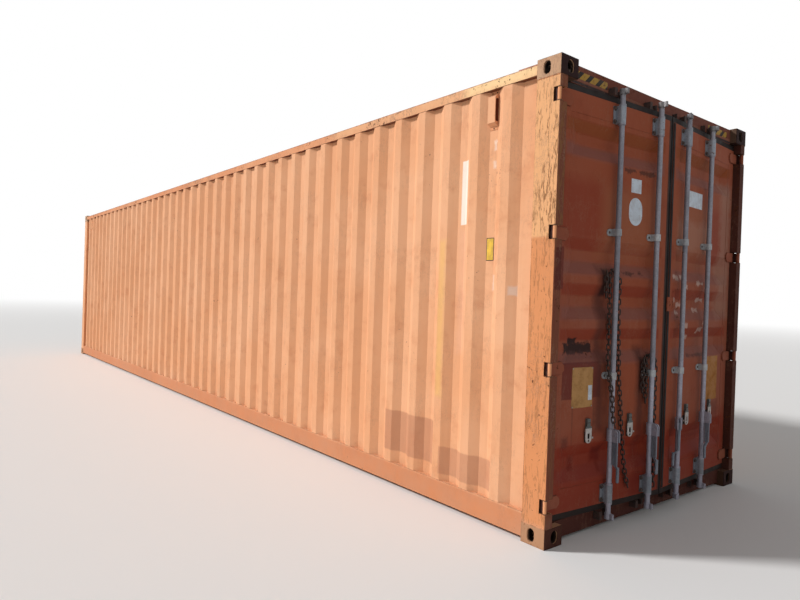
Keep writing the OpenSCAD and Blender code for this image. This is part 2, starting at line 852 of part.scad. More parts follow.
// Tunnel for a trailer's gooseneck, with the full-width beam across its inner end
module gooseneck_tunnel() {
    a = tunnel_w / 2;
    color(PAINT) {
        along_x(-cross_half, cross_half) polygon(channel(tunnel_y));
        along_y(tunnel_y + cross_flange, front_sill_y) polygon([
            [-a - tunnel_t, sill_z], [-a, sill_z], [-a, board_z - tunnel_t], [a, board_z - tunnel_t],
            [a, sill_z], [a + tunnel_t, sill_z], [a + tunnel_t, board_z], [-a - tunnel_t, board_z]
        ]);
    }
}

// Swings what is modelled on the closed left leaf to where the doors stand, on the named side
module hung(side) {
    mirror([side > 0 ? 1 : 0, 0, 0])
        translate([pin_x, pin_y, 0]) rotate([0, 0, -door_ajar]) translate([-pin_x, -pin_y, 0]) children();
}

module door_frame() {
    difference() {
        translate([leaf_x0, face_y, leaf_z0]) cube([leaf_x1 - leaf_x0, leaf_t, leaf_z1 - leaf_z0]);
        translate([panel_x0, face_y - eps, panel_z0])
            cube([panel_x1 - panel_x0, leaf_t + 2 * eps, panel_z1 - panel_z0]);
    }
}

// The recesses of one leaf, as solids that narrow towards the bottom of each recess
module recesses(depth, grow) {
    x0 = panel_x0 + recess_margin - grow;
    x1 = panel_x1 - recess_margin + grow;
    intersection() {
        along_x(x0, x1) for (z = recess_z) polygon([
            [panel_y - eps, z - recess_h / 2 - grow], [panel_y, z - recess_h / 2 - grow],
            [panel_y + depth, z - recess_flat / 2 - grow], [panel_y + depth, z + recess_flat / 2 + grow],
            [panel_y, z + recess_h / 2 + grow], [panel_y - eps, z + recess_h / 2 + grow]
        ]);
        translate([0, 0, panel_z0]) linear_extrude(panel_z1 - panel_z0) polygon([
            [x0, panel_y - eps], [x0, panel_y], [x0 + recess_end, panel_y + depth],
            [x1 - recess_end, panel_y + depth], [x1, panel_y], [x1, panel_y - eps]
        ]);
    }
}

module door_panel() {
    difference() {
        union() {
            translate([panel_x0, panel_y, panel_z0])
                cube([panel_x1 - panel_x0, panel_t, panel_z1 - panel_z0]);
            intersection() {
                recesses(recess_depth + panel_t, panel_t);
                translate([panel_x0, panel_y, panel_z0])
                    cube([panel_x1 - panel_x0, leaf_t, panel_z1 - panel_z0]);
            }
        }
        recesses(recess_depth, 0);
    }
}

// Rubber strip round the leaf: a wide lip above, below and at the seam, and a thin one at the hinge side
module door_gasket() {
    lip = leaf_end_gap - gasket_clear;
    seam = leaf_seam - gasket_clear;
    hinge = leaf_side_gap - gasket_clear;
    y = face_y + 2;
    translate([0, y, 0]) difference() {
        translate([leaf_x0 - hinge, 0, leaf_z0 - lip])
            cube([leaf_x1 - leaf_x0 + hinge + seam, gasket_t, leaf_z1 - leaf_z0 + 2 * lip]);
        translate([leaf_x0, -eps, leaf_z0]) cube([leaf_x1 - leaf_x0, gasket_t + 2 * eps, leaf_z1 - leaf_z0]);
    }
}

// One hinge blade in plan: a barrel on the pin, an arm back to the leaf's face, and a plate along it
module hinge_blade() {
    difference() {
        union() {
            translate([0, 0, -blade_h / 2]) cylinder(r = barrel_r, h = blade_h);
            translate([-blade_t / 2, 0, -blade_h / 2]) cube([blade_t, leaf_set - pin_in, blade_h]);
            translate([0, leaf_set - pin_in, 0]) rotate([90, 0, 0]) linear_extrude(blade_t) polygon([
                [-blade_t / 2, -blade_h / 2], [blade_reach - blade_cut, -blade_h / 2],
                [blade_reach, -blade_h / 2 + blade_cut], [blade_reach, blade_h / 2 - blade_cut],
                [blade_reach - blade_cut, blade_h / 2], [-blade_t / 2, blade_h / 2]
            ]);
        }
        translate([0, 0, -blade_h / 2 - eps]) cylinder(r = pin_r + pivot_clear, h = blade_h + 2 * eps);
    }
}

module hinge_blades() {
    for (z = hinge_z) translate([pin_x, pin_y, z]) hinge_blade();
}

// Bracket round a rod at height z, with flanges of width w on the leaf's face
module rod_bracket(x, z, w, h, back) {
    translate([x, 0, z - h / 2]) linear_extrude(h) difference() {
        union() {
            translate([0, rod_y]) circle(r = shell_r);
            translate([-shell_r, rod_y]) square([2 * shell_r, back - rod_y]);
            translate([-w / 2, back - flange_t]) square([w, flange_t]);
        }
        translate([0, rod_y]) circle(r = bore_r);
    }
}

// Narrow bracket: round-ended flanges, each with a bolt hole
module narrow_bracket(x, z) {
    end_x = narrow_w / 2 - narrow_h / 2;
    difference() {
        intersection() {
            rod_bracket(x, z, narrow_w, narrow_h, panel_y);
            translate([x, panel_y + eps, z]) rotate([90, 0, 0]) union() {
                for (s = [-1, 1]) translate([s * end_x, 0, 0])
                    cylinder(r = narrow_h / 2, h = panel_y - rod_y + shell_r + 2 * eps);
                translate([-end_x, -narrow_h / 2, 0])
                    cube([2 * end_x, narrow_h, panel_y - rod_y + shell_r + 2 * eps]);
            }
        }
        for (s = [-1, 1]) translate([x + s * end_x, panel_y + eps, z])
            rotate([90, 0, 0]) cylinder(r = bolt_hole_r, h = flange_t + 2 * eps);
    }
}

module rod_brackets() {
    for (x = [-outer_rod_x, -inner_rod_x]) {
        rod_bracket(x, top_bracket_z, bracket_w, bracket_h, face_y);
        rod_bracket(x, low_bracket_z, bracket_w, bracket_h, face_y);
        for (z = narrow_z) narrow_bracket(x, z);
    }
}

// A catch hangs from a block on the leaf: a plate with a round lower end, a slot and a seal hole
module handle_catch(x) {
    z0 = handle_z - catch_drop;
    z1 = z0 + catch_h;
    y = panel_y - catch_block_d + catch_t;
    lug = 10;
    translate([x, y, 0]) rotate([90, 0, 0]) linear_extrude(catch_t) difference() {
        union() {
            translate([0, z0 + catch_w / 2]) circle(r = catch_w / 2);
            translate([-catch_w / 2, z0 + catch_w / 2]) square([catch_w, catch_h - catch_w / 2]);
        }
        translate([0, z0 + catch_w / 4]) circle(r = catch_hole_r);
        translate([-catch_slot_w / 2, z0 + catch_w / 4 + catch_hole_r + catch_t])
            square([catch_slot_w, catch_slot_h]);
    }
    translate([x - catch_block_w / 2, panel_y - catch_block_d, z1])
        cube([catch_block_w, catch_block_d, catch_block_h]);
    translate([x + catch_w / 2, panel_y - catch_block_d - lug + catch_t, z0 + catch_w / 2])
        cube([lug, catch_block_d + lug - catch_t, lug]);
}

module handle_catches() {
    for (x = [-outer_rod_x, -inner_rod_x]) handle_catch(x - catch_out);
}

// A hub on the rod's axis: a round body and two ears that hold the handle's arm between them
module hub() {
    head_x = ear_gap + ear_t;
    translate([0, 0, -hub_h / 2]) intersection() {
        linear_extrude(hub_h) difference() {
            union() {
                circle(r = hub_r);
                translate([-head_x, -ear_out]) square([2 * head_x, ear_out]);
            }
            translate([-ear_gap, -ear_out - eps]) square([2 * ear_gap, ear_out - rod_r - 2 + eps]);
        }
        along_x(-hub_r - eps, hub_r + eps) union() {
            translate([-ear_out + ear_round, hub_h - ear_round]) circle(r = ear_round);
            translate([-ear_out, 0]) square([ear_out + hub_r + eps, hub_h - ear_round]);
            translate([-ear_out + ear_round, 0]) square([ear_out + hub_r - ear_round + eps, hub_h]);
        }
    }
    translate([-head_x - head_t, -pivot_out, 0]) rotate([0, 90, 0]) {
        cylinder(r = head_r, h = head_t);
        cylinder(r = pivot_r, h = 2 * (head_x + head_t));
        translate([0, 0, 2 * head_x + head_t]) cylinder(r = head_r, h = head_t);
    }
}

// A cam: a collar on the rod and a nose with a round end
module cam() {
    translate([0, 0, -cam_h / 2]) {
        cylinder(r = cam_r, h = cam_h);
        translate([-cam_half, -cam_reach + cam_half, 0]) cube([2 * cam_half, cam_reach - cam_half, cam_h]);
        translate([0, -cam_reach + cam_half, 0]) cylinder(r = cam_half, h = cam_h);
    }
}

// A lock rod on its own axis, with its cams, collars and hub pointing straight out of the leaf
module lock_rod() {
    translate([0, 0, rod_z0]) cylinder(r = rod_r, h = rod_z1 - rod_z0);
    for (z = cam_z) translate([0, 0, z]) cam();
    for (z = [top_bracket_z, low_bracket_z], s = [-1, 1])
        translate([0, 0, z + s * (bracket_h / 2 + rod_clear + collar_h / 2) - collar_h / 2])
            cylinder(r = collar_r, h = collar_h);
    translate([0, 0, handle_z]) hub();
}

// A handle: a flat grooved arm that hangs from the hub's pin, then a round grip set to the side
module handle() {
    grip_from = arm_l + step_l;
    translate([0, -pivot_out, handle_z]) {
        difference() {
            union() {
                translate([-arm_t / 2, 0, 0]) rotate([0, 90, 0]) cylinder(r = arm_w / 2, h = arm_t);
                translate([-arm_t / 2, -arm_w / 2, -arm_l]) cube([arm_t, arm_w, arm_l]);
            }
            translate([-arm_t, 0, 0]) rotate([0, 90, 0]) cylinder(r = pivot_r + pivot_clear, h = 2 * arm_t);
            for (s = [-1, 1]) translate([s * (arm_t - groove_d), 0, -(groove_from + groove_to) / 2])
                rotate([0, 90, 0]) rotate([0, 0, 90]) translate([0, 0, -arm_t / 2])
                    slot_cut(groove_w, groove_to - groove_from, arm_t);
        }
        translate([0, grip_r, 0]) rotate([90, 0, 0]) linear_extrude(2 * grip_r) polygon([
            [-arm_t / 2, -arm_l], [arm_t / 2, -arm_l],
            [grip_step + arm_t / 2, -grip_from], [grip_step - arm_t / 2, -grip_from]
        ]);
        translate([grip_step, 0, -handle_l + grip_r])
            cylinder(r = grip_r, h = handle_l - grip_r - grip_from + grip_r);
        translate([grip_step, 0, -handle_l + grip_r]) sphere(r = grip_r);
    }
}

// Tab on the right leaf that covers the seam's rubber
module overlap_tab() {
    lip = leaf_seam - gasket_clear;
    color(DOOR_PAINT) hung(1) translate([leaf_x1 + lip - tab_w, face_y - tab_t, tab_z - tab_h / 2])
        cube([tab_w, tab_t, tab_h]);
}

module door_frame_left() {
    color(DOOR_PAINT) hung(-1) door_frame();
}

module door_frame_right() {
    color(DOOR_PAINT) hung(1) door_frame();
}

module door_panel_left() {
    color(DOOR_PAINT) hung(-1) door_panel();
}

module door_panel_right() {
    color(DOOR_PAINT) hung(1) door_panel();
}

module door_gasket_left() {
    color(RUBBER) hung(-1) door_gasket();
}

module door_gasket_right() {
    color(RUBBER) hung(1) door_gasket();
}

module hinge_blades_left() {
    color(DOOR_PAINT) hung(-1) hinge_blades();
}

module hinge_blades_right() {
    color(DOOR_PAINT) hung(1) hinge_blades();
}

module rod_brackets_left() {
    color(ZINC) hung(-1) rod_brackets();
}

module rod_brackets_right() {
    color(ZINC) hung(1) rod_brackets();
}

module handle_catches_left() {
    color(ZINC) hung(-1) handle_catches();
}

module handle_catches_right() {
    color(ZINC) hung(1) handle_catches();
}

// Puts what is modelled on a rod's own axis at rod number i, counted from the left
module on_rod(i) {
    x = (i == 1 || i == 4) ? -outer_rod_x : -inner_rod_x;
    hung(i < 3 ? -1 : 1) translate([x, rod_y, 0]) rotate([0, 0, -rod_turn[i - 1]]) children();
}

corner_castings_top();
corner_castings_bottom();
rear_post_left();
rear_post_right();
front_posts();
top_side_rails();
bottom_side_rails();
side_wall_left();
side_wall_right();
front_wall();
roof_panel();
roof_corner_plates();
front_header();
front_sill();
door_header();
door_sill();
cam_keepers();
hinge_pins();
floor_boards();
cross_members();
gooseneck_tunnel();
side_vents();
door_frame_left();
door_panel_left();
door_gasket_left();
hinge_blades_left();
rod_brackets_left();
handle_catches_left();
door_frame_right();
door_panel_right();
door_gasket_right();
hinge_blades_right();
rod_brackets_right();
handle_catches_right();
color(ZINC) on_rod(1) lock_rod();  // lock_rod_1
color(ZINC) on_rod(2) lock_rod();  // lock_rod_2
color(ZINC) on_rod(3) lock_rod();  // lock_rod_3
color(ZINC) on_rod(4) lock_rod();  // lock_rod_4
color(ZINC) on_rod(1) handle();  // handle_1
color(ZINC) on_rod(2) handle();  // handle_2
color(ZINC) on_rod(3) handle();  // handle_3
color(ZINC) on_rod(4) handle();  // handle_4
overlap_tab();
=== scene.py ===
"""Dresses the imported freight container: worn paint, rust, bare plates, chains, bolts and weld beads."""

import logging
import math
from collections.abc import Sequence
from dataclasses import dataclass, field, replace
from enum import Enum
from typing import Any

import bpy
import numpy as np
from mathutils import Matrix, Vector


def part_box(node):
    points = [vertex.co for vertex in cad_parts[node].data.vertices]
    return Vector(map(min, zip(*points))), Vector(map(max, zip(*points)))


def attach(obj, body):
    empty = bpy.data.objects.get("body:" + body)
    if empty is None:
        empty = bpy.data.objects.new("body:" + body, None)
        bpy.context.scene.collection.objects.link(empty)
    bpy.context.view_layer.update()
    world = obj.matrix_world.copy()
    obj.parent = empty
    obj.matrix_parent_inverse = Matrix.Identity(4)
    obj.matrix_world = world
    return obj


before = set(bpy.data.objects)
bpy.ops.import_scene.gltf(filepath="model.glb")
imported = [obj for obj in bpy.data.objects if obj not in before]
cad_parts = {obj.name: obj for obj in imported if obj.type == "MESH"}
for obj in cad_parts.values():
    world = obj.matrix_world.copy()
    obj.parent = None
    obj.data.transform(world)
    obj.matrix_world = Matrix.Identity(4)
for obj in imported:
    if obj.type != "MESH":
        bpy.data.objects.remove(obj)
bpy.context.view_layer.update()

LOG = logging.getLogger("container")
Array = np.ndarray
Colour = tuple[float, float, float]
Vec = tuple[float, float, float]
Row = tuple[Any, ...]

SIGNS = (-1, 1)
CORNERS = ((-1, -1), (-1, 1), (1, -1), (1, 1))
CRISP_ANGLE = 40.0
ROUND_ANGLE = 80.0
PLAIN: Vec = (1.0, 1.0, 1.0)
NO_SHIFT: Vec = (0.0, 0.0, 0.0)


class Side(Enum):
    """Which half of the container a thing belongs to, seen when facing the doors."""

    LEFT = -1
    RIGHT = 1

    @property
    def word(self) -> str:
        """Word that ends the names of this half's nodes."""
        return "left" if self is Side.LEFT else "right"


@dataclass(frozen=True)
class Sizes:
    """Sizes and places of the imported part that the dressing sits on, in metres.

    Places on a door are those of the closed left leaf.
    """

    half_w: float = 1.219
    half_l: float = 6.096
    height: float = 2.896
    pin: tuple[float, float] = (-1.203, -6.080)
    ajar: float = math.radians(4.2)
    face_y: float = -6.036
    panel_y: float = -6.034
    header_y: float = -6.045
    rods: tuple[float, float] = (-0.610, -0.190)
    narrow_z: tuple[float, float] = (0.990, 1.905)
    tall_z: tuple[float, float] = (2.655, 0.236)
    casting_w: float = 0.162
    casting_l: float = 0.178
    casting_h: float = 0.118
    hinge_z: tuple[float, ...] = (0.246, 1.0527, 1.8593, 2.666)
    wall_x: float = 1.1783
    vent_y: float = 5.545
    wave_pitch: float = 0.2773
    boards_z: float = 0.1729


SIZES = Sizes()


@dataclass
class Shape:
    """A surface as plain arrays: points (n, 3) and faces (m, 4). A triangle repeats its last corner."""

    points: Array
    faces: Array

    def outward(self) -> "Shape":
        """Turns a closed surface so that its faces point outwards.

        The signed volume is a sixth of the sum, over the triangles, of the product of their corners.

        Returns:
            This shape, or one with every face turned round where the volume was negative.
        """
        p = self.points[self.faces]
        first = np.einsum("ij,ij->i", p[:, 0], np.cross(p[:, 1], p[:, 2]))
        second = np.einsum("ij,ij->i", p[:, 0], np.cross(p[:, 2], p[:, 3]))
        if (first + second).sum() < 0:
            return self.turned()
        return self

    def turned(self) -> "Shape":
        """Gives every face the other winding, and keeps a triangle's doubled corner last.

        Returns:
            The same surface, inside out.
        """
        f = self.faces
        triangle = f[:, 2] == f[:, 3]
        back = np.where(triangle[:, None], f[:, [0, 2, 1, 1]], f[:, ::-1])
        return Shape(self.points, back)

    def moved(self, matrix: Array) -> "Shape":
        """Moves the points by one 4 x 4 matrix.

        Args:
            matrix: Turn and shift; a mirroring one also turns the faces round.

        Returns:
            The moved shape.
        """
        points = self.points @ matrix[:3, :3].T + matrix[:3, 3]
        shape = Shape(points, self.faces)
        return shape.turned() if np.linalg.det(matrix[:3, :3]) < 0 else shape

    def copies(self, matrices: Array) -> "Shape":
        """Repeats the shape once for each matrix.

        Args:
            matrices: Array (k, 4, 4) of turns and shifts.

        Returns:
            One shape that holds all k copies.
        """
        count, size = len(matrices), len(self.points)
        points = np.einsum("kij,nj->kni", matrices[:, :3, :3], self.points)
        points = points + matrices[:, None, :3, 3]
        faces = self.faces[None] + size * np.arange(count)[:, None, None]
        return Shape(points.reshape(-1, 3), faces.reshape(-1, 4))

    def build(self, name: str, finish: bpy.types.Material,
              angle: float = CRISP_ANGLE) -> bpy.types.Object:
        """Makes a Blender object at the origin, with the shape's place in its mesh.

        Args:
            name: Name of the piece.
            finish: Its material.
            angle: Edges sharper than this many degrees stay crisp.

        Returns:
            The new object.
        """
        triangle = self.faces[:, 2] == self.faces[:, 3]
        faces = self.faces[~triangle].tolist() + self.faces[triangle][:, :3].tolist()
        mesh = bpy.data.meshes.new(name)
        mesh.from_pydata(self.points.tolist(), [], faces)
        mesh.materials.append(finish)
        mesh.shade_smooth()
        mesh.set_sharp_from_angle(angle=math.radians(angle))
        mesh.update()
        thing = bpy.data.objects.new(name, mesh)
        bpy.context.scene.collection.objects.link(thing)
        return thing


def joined(shapes: Sequence[Shape]) -> Shape:
    """Puts several shapes into one.

    Args:
        shapes: The shapes, in order.

    Returns:
        One shape; each shape's faces count on from the points before it.
    """
    starts = np.cumsum([0] + [len(s.points) for s in shapes[:-1]])
    faces = [s.faces + start for s, start in zip(shapes, starts)]
    return Shape(np.concatenate([s.points for s in shapes]), np.concatenate(faces))


def skin(points: Array, around: bool, along: bool = False) -> Shape:
    """Covers a grid of points with four-cornered faces.

    Args:
        points: Array (n, m, 3); n rings of m points.
        around: Whether each ring is closed.
        along: Whether the last ring meets the first.

    Returns:
        The surface. Face (i, j) joins points (i, j), (i+1, j), (i+1, j+1) and (i, j+1).
    """
    n, m = points.shape[:2]
    i = np.arange(n if along else n - 1)[:, None]
    j = np.arange(m if around else m - 1)[None, :]
    i1, j1 = (i + 1) % n, (j + 1) % m
    faces = np.stack([i * m + j, i1 * m + j, i1 * m + j1, i * m + j1], axis=-1)
    return Shape(points.reshape(-1, 3), faces.reshape(-1, 4))


def capped(rings: Array) -> Shape:
    """Closes a stack of rings with a fan at each end.

    Args:
        rings: Array (n, m, 3) of closed rings.

    Returns:
        A closed surface that points outwards; each fan meets at its ring's mean point.
    """
    n, m = rings.shape[:2]
    side = skin(rings, True)
    j = np.arange(m)
    j1 = (j + 1) % m
    low, high = n * m, n * m + 1
    first = np.stack([j, j1, np.full(m, low), np.full(m, low)], axis=-1)
    top = (n - 1) * m
    last = np.stack([top + j1, top + j, np.full(m, high), np.full(m, high)], axis=-1)
    points = np.concatenate([side.points, rings[0].mean(0)[None], rings[-1].mean(0)[None]])
    return Shape(points, np.concatenate([side.faces, first, last])).outward()


def lathe(profile: Sequence[tuple[float, float]], sides: int) -> Shape:
    """Turns a profile round the Z axis.

    Point (r, z) at angle a becomes (r cos a, r sin a, z).

    Args:
        profile: Points (radius, height) from one end to the other.
        sides: Number of flats round the axis.

    Returns:
        A closed surface.
    """
    r, z = np.array(profile).T
    a = np.linspace(0, 2 * math.pi, sides, endpoint=False)
    x = r[:, None] * np.cos(a)
    y = r[:, None] * np.sin(a)
    return capped(np.stack([x, y, np.broadcast_to(z[:, None], x.shape)], axis=-1))


def hex_head(across: float, height: float) -> Shape:
    """Bolt head with its washer, standing on z = 0.

    A hexagon's radius at angle a is the half width over cos of a's distance from the middle of the
    nearest flat. The washer's rings are round, and the head's last ring is drawn in for the chamfer.

    Args:
        across: Width across the flats.
        height: Height of the head above the washer.

    Returns:
        A closed surface.
    """
    a = np.linspace(0, 2 * math.pi, 12, endpoint=False)
    flat = (a + math.pi / 6) % (math.pi / 3) - math.pi / 6
    hexagon = across / 2 / np.cos(flat)
    circle = np.full(12, across * 0.95)
    washer = height * 0.22
    radii = np.stack([circle, circle, hexagon, hexagon, hexagon * 0.86])
    z = np.array([0.0, washer, washer, washer + height * 0.85, washer + height])
    heights = np.broadcast_to(z[:, None], radii.shape)
    return capped(np.stack([radii * np.cos(a), radii * np.sin(a), heights], axis=-1))


def rivet_head(radius: float, height: float) -> Shape:
    """Round head: radius times cos t against height times sin t, for t from nought to a right angle."""
    t = np.linspace(0, math.pi / 2 * 0.93, 6)
    return lathe(list(zip(radius * np.cos(t), height * np.sin(t))), 14)


def tube(path: Array, radius: Array | float, sides: int, ref: Vec, loop: bool = False) -> Shape:
    """Carries a circle along a path.

    At each point the circle lies square to the path: its first axis is the path's direction crossed
    with a fixed reference direction, and its second is the direction crossed with the first.

    Args:
        path: Array (n, 3) of points.
        radius: One radius, or one for each point.
        sides: Number of flats round the tube.
        ref: Reference direction, never along the path.
        loop: Whether the path closes on itself.

    Returns:
        A closed surface.
    """
    if loop:
        along = np.roll(path, -1, axis=0) - np.roll(path, 1, axis=0)
    else:
        along = np.gradient(path, axis=0)
    along /= np.linalg.norm(along, axis=1, keepdims=True)
    one = np.cross(along, np.array(ref))
    one /= np.linalg.norm(one, axis=1, keepdims=True)
    two = np.cross(along, one)
    a = np.linspace(0, 2 * math.pi, sides, endpoint=False)[None, :, None]
    r = np.broadcast_to(np.asarray(radius, dtype=float), (len(path),))[:, None, None]
    rings = path[:, None] + r * (np.cos(a) * one[:, None] + np.sin(a) * two[:, None])
    return skin(rings, True, True).outward() if loop else capped(rings)


def weld_bead(start: Vec, end: Vec, radius: float, ref: Vec) -> Shape:
    """Weld bead between two points.

    The radius at distance s is r (1 + 0.16 sin(2 pi s / 11 mm) + 0.1 sin(2 pi s / 47 mm)), and both
    ends taper.

    Args:
        start: First point.
        end: Last point.
        radius: Middle radius.
        ref: Direction that isn't along the bead.

    Returns:
        A closed surface.
    """
    a, b = np.array(start), np.array(end)
    length = float(np.linalg.norm(b - a))
    s = np.linspace(0, length, max(8, int(length / 0.0045)))
    ripple = 1 + 0.16 * np.sin(2 * math.pi * s / 0.011) + 0.10 * np.sin(2 * math.pi * s / 0.047)
    taper = np.clip(np.minimum(s, length - s) / (2 * radius) + 0.3, 0, 1)
    return tube(a + (b - a) * (s / length)[:, None], radius * ripple * taper, 6, ref)


def rounded_outline(half_w: float, half_h: float, corner: float, steps: int = 6) -> Array:
    """Outline of a rectangle with round corners.

    Each corner is a quarter circle round the point that lies the corner's radius in from both sides.

    Args:
        half_w: Half the width.
        half_h: Half the height.
        corner: Radius of the corners.
        steps: Points in each corner.

    Returns:
        Array (4 * steps, 2).
    """
    a = np.linspace(0, math.pi / 2, steps)[None, :] + (np.arange(4) * math.pi / 2)[:, None]
    sx = np.array([1, -1, -1, 1])[:, None] * (half_w - corner)
    sy = np.array([1, 1, -1, -1])[:, None] * (half_h - corner)
    return np.stack([sx + corner * np.cos(a), sy + corner * np.sin(a)], axis=-1).reshape(-1, 2)


def plate(centre: Vec, width: float, height: float, corner: float, thick: float) -> Shape:
    """Thin plate that faces -Y, with its front edge rounded over.

    The rings are the rounded outline at insets 0, 0, a third and the whole of the thickness, at
    growing depth.

    Args:
        centre: Middle of the plate's back.
        width: Size along X.
        height: Size along Z.
        corner: Radius of the corners.
        thick: Thickness towards -Y.

    Returns:
        A closed surface.
    """
    inset = np.array([0.0, 0.0, 0.3, 1.0]) * thick
    depth = np.array([0.0, 0.6, 0.9, 1.0]) * thick
    rings = [rounded_outline(width / 2 - d, height / 2 - d, max(corner - d, 0.0004)) for d in inset]
    flat = np.stack(rings)
    y = np.broadcast_to(-depth[:, None], flat.shape[:2])
    points = np.stack([flat[..., 0], y, flat[..., 1]], axis=-1) + np.array(centre)
    return capped(points)


def shifts(places: Sequence[Vec] | Array) -> Array:
    """Matrices that only move, one for each place.

    Args:
        places: The places.

    Returns:
        Array (k, 4, 4).
    """
    out = np.tile(np.eye(4), (len(places), 1, 1))
    out[:, :3, 3] = np.array(places)
    return out


def facing(places: Sequence[Vec], out: Vec) -> Array:
    """Matrices that turn the Z axis to a direction and then move.

    Args:
        places: One place for each matrix.
        out: Direction that Z turns to.

    Returns:
        Array (k, 4, 4).
    """
    z = np.array(out, dtype=float)
    z /= np.linalg.norm(z)
    x = np.cross([0.0, 0.0, 1.0], z) if abs(z[2]) < 0.9 else np.array([1.0, 0.0, 0.0])
    x /= np.linalg.norm(x)
    matrices = shifts(places)
    matrices[:, :3, :3] = np.stack([x, np.cross(z, x), z], axis=1)
    return matrices


def hang_matrix(side: Side) -> Array:
    """Matrix that takes the closed left leaf to where a leaf stands.

    It is a turn about the pin, and then a mirror for the right leaf.

    Args:
        side: Which leaf.

    Returns:
        A 4 x 4 matrix.
    """
    c, s = math.cos(-SIZES.ajar), math.sin(-SIZES.ajar)
    turn = np.eye(4)
    turn[:2, :2] = [[c, -s], [s, c]]
    pin = np.array(SIZES.pin)
    turn[:2, 3] = pin - turn[:2, :2] @ pin
    mirror = np.diag([-1.0 if side is Side.RIGHT else 1.0, 1.0, 1.0, 1.0])
    return mirror @ turn


def seen_x(x: float) -> float:
    """Where a point at x on the closed left leaf stands at rest, along X."""
    px, py = SIZES.pin
    return px + (x - px) * math.cos(SIZES.ajar) + (SIZES.panel_y - py) * math.sin(SIZES.ajar)


@dataclass(frozen=True)
class Paint:
    """Finish of old paint over steel; every number from 0 to 1 unless it says otherwise.

    With an outward direction, the fields of the finish show only on the faces that look that way.
    """

    name: str
    base: Colour
    faded: Colour
    deep: Colour
    fade: float = 0.7
    streaks: float = 0.35
    scratches: float = 0.35
    rust: float = 0.35
    wear: float = 0.5
    dust: float = 0.3
    rough: float = 0.62
    dents: float = 0.0
    scrapes: float = 0.0
    scrape_z: tuple[float, float] = (1.85, 2.60)
    round_edges: float = 0.0
    gloss: float = 0.12
    outward: Vec | None = None


@dataclass(frozen=True)
class Mark:
    """A painted or rubbed field: a box in which the colour changes, with soft or ragged edges."""

    colour: Colour
    centre: Vec
    half: Vec
    soft: float = 0.004
    ragged: float = 0.0
    strength: float = 1.0


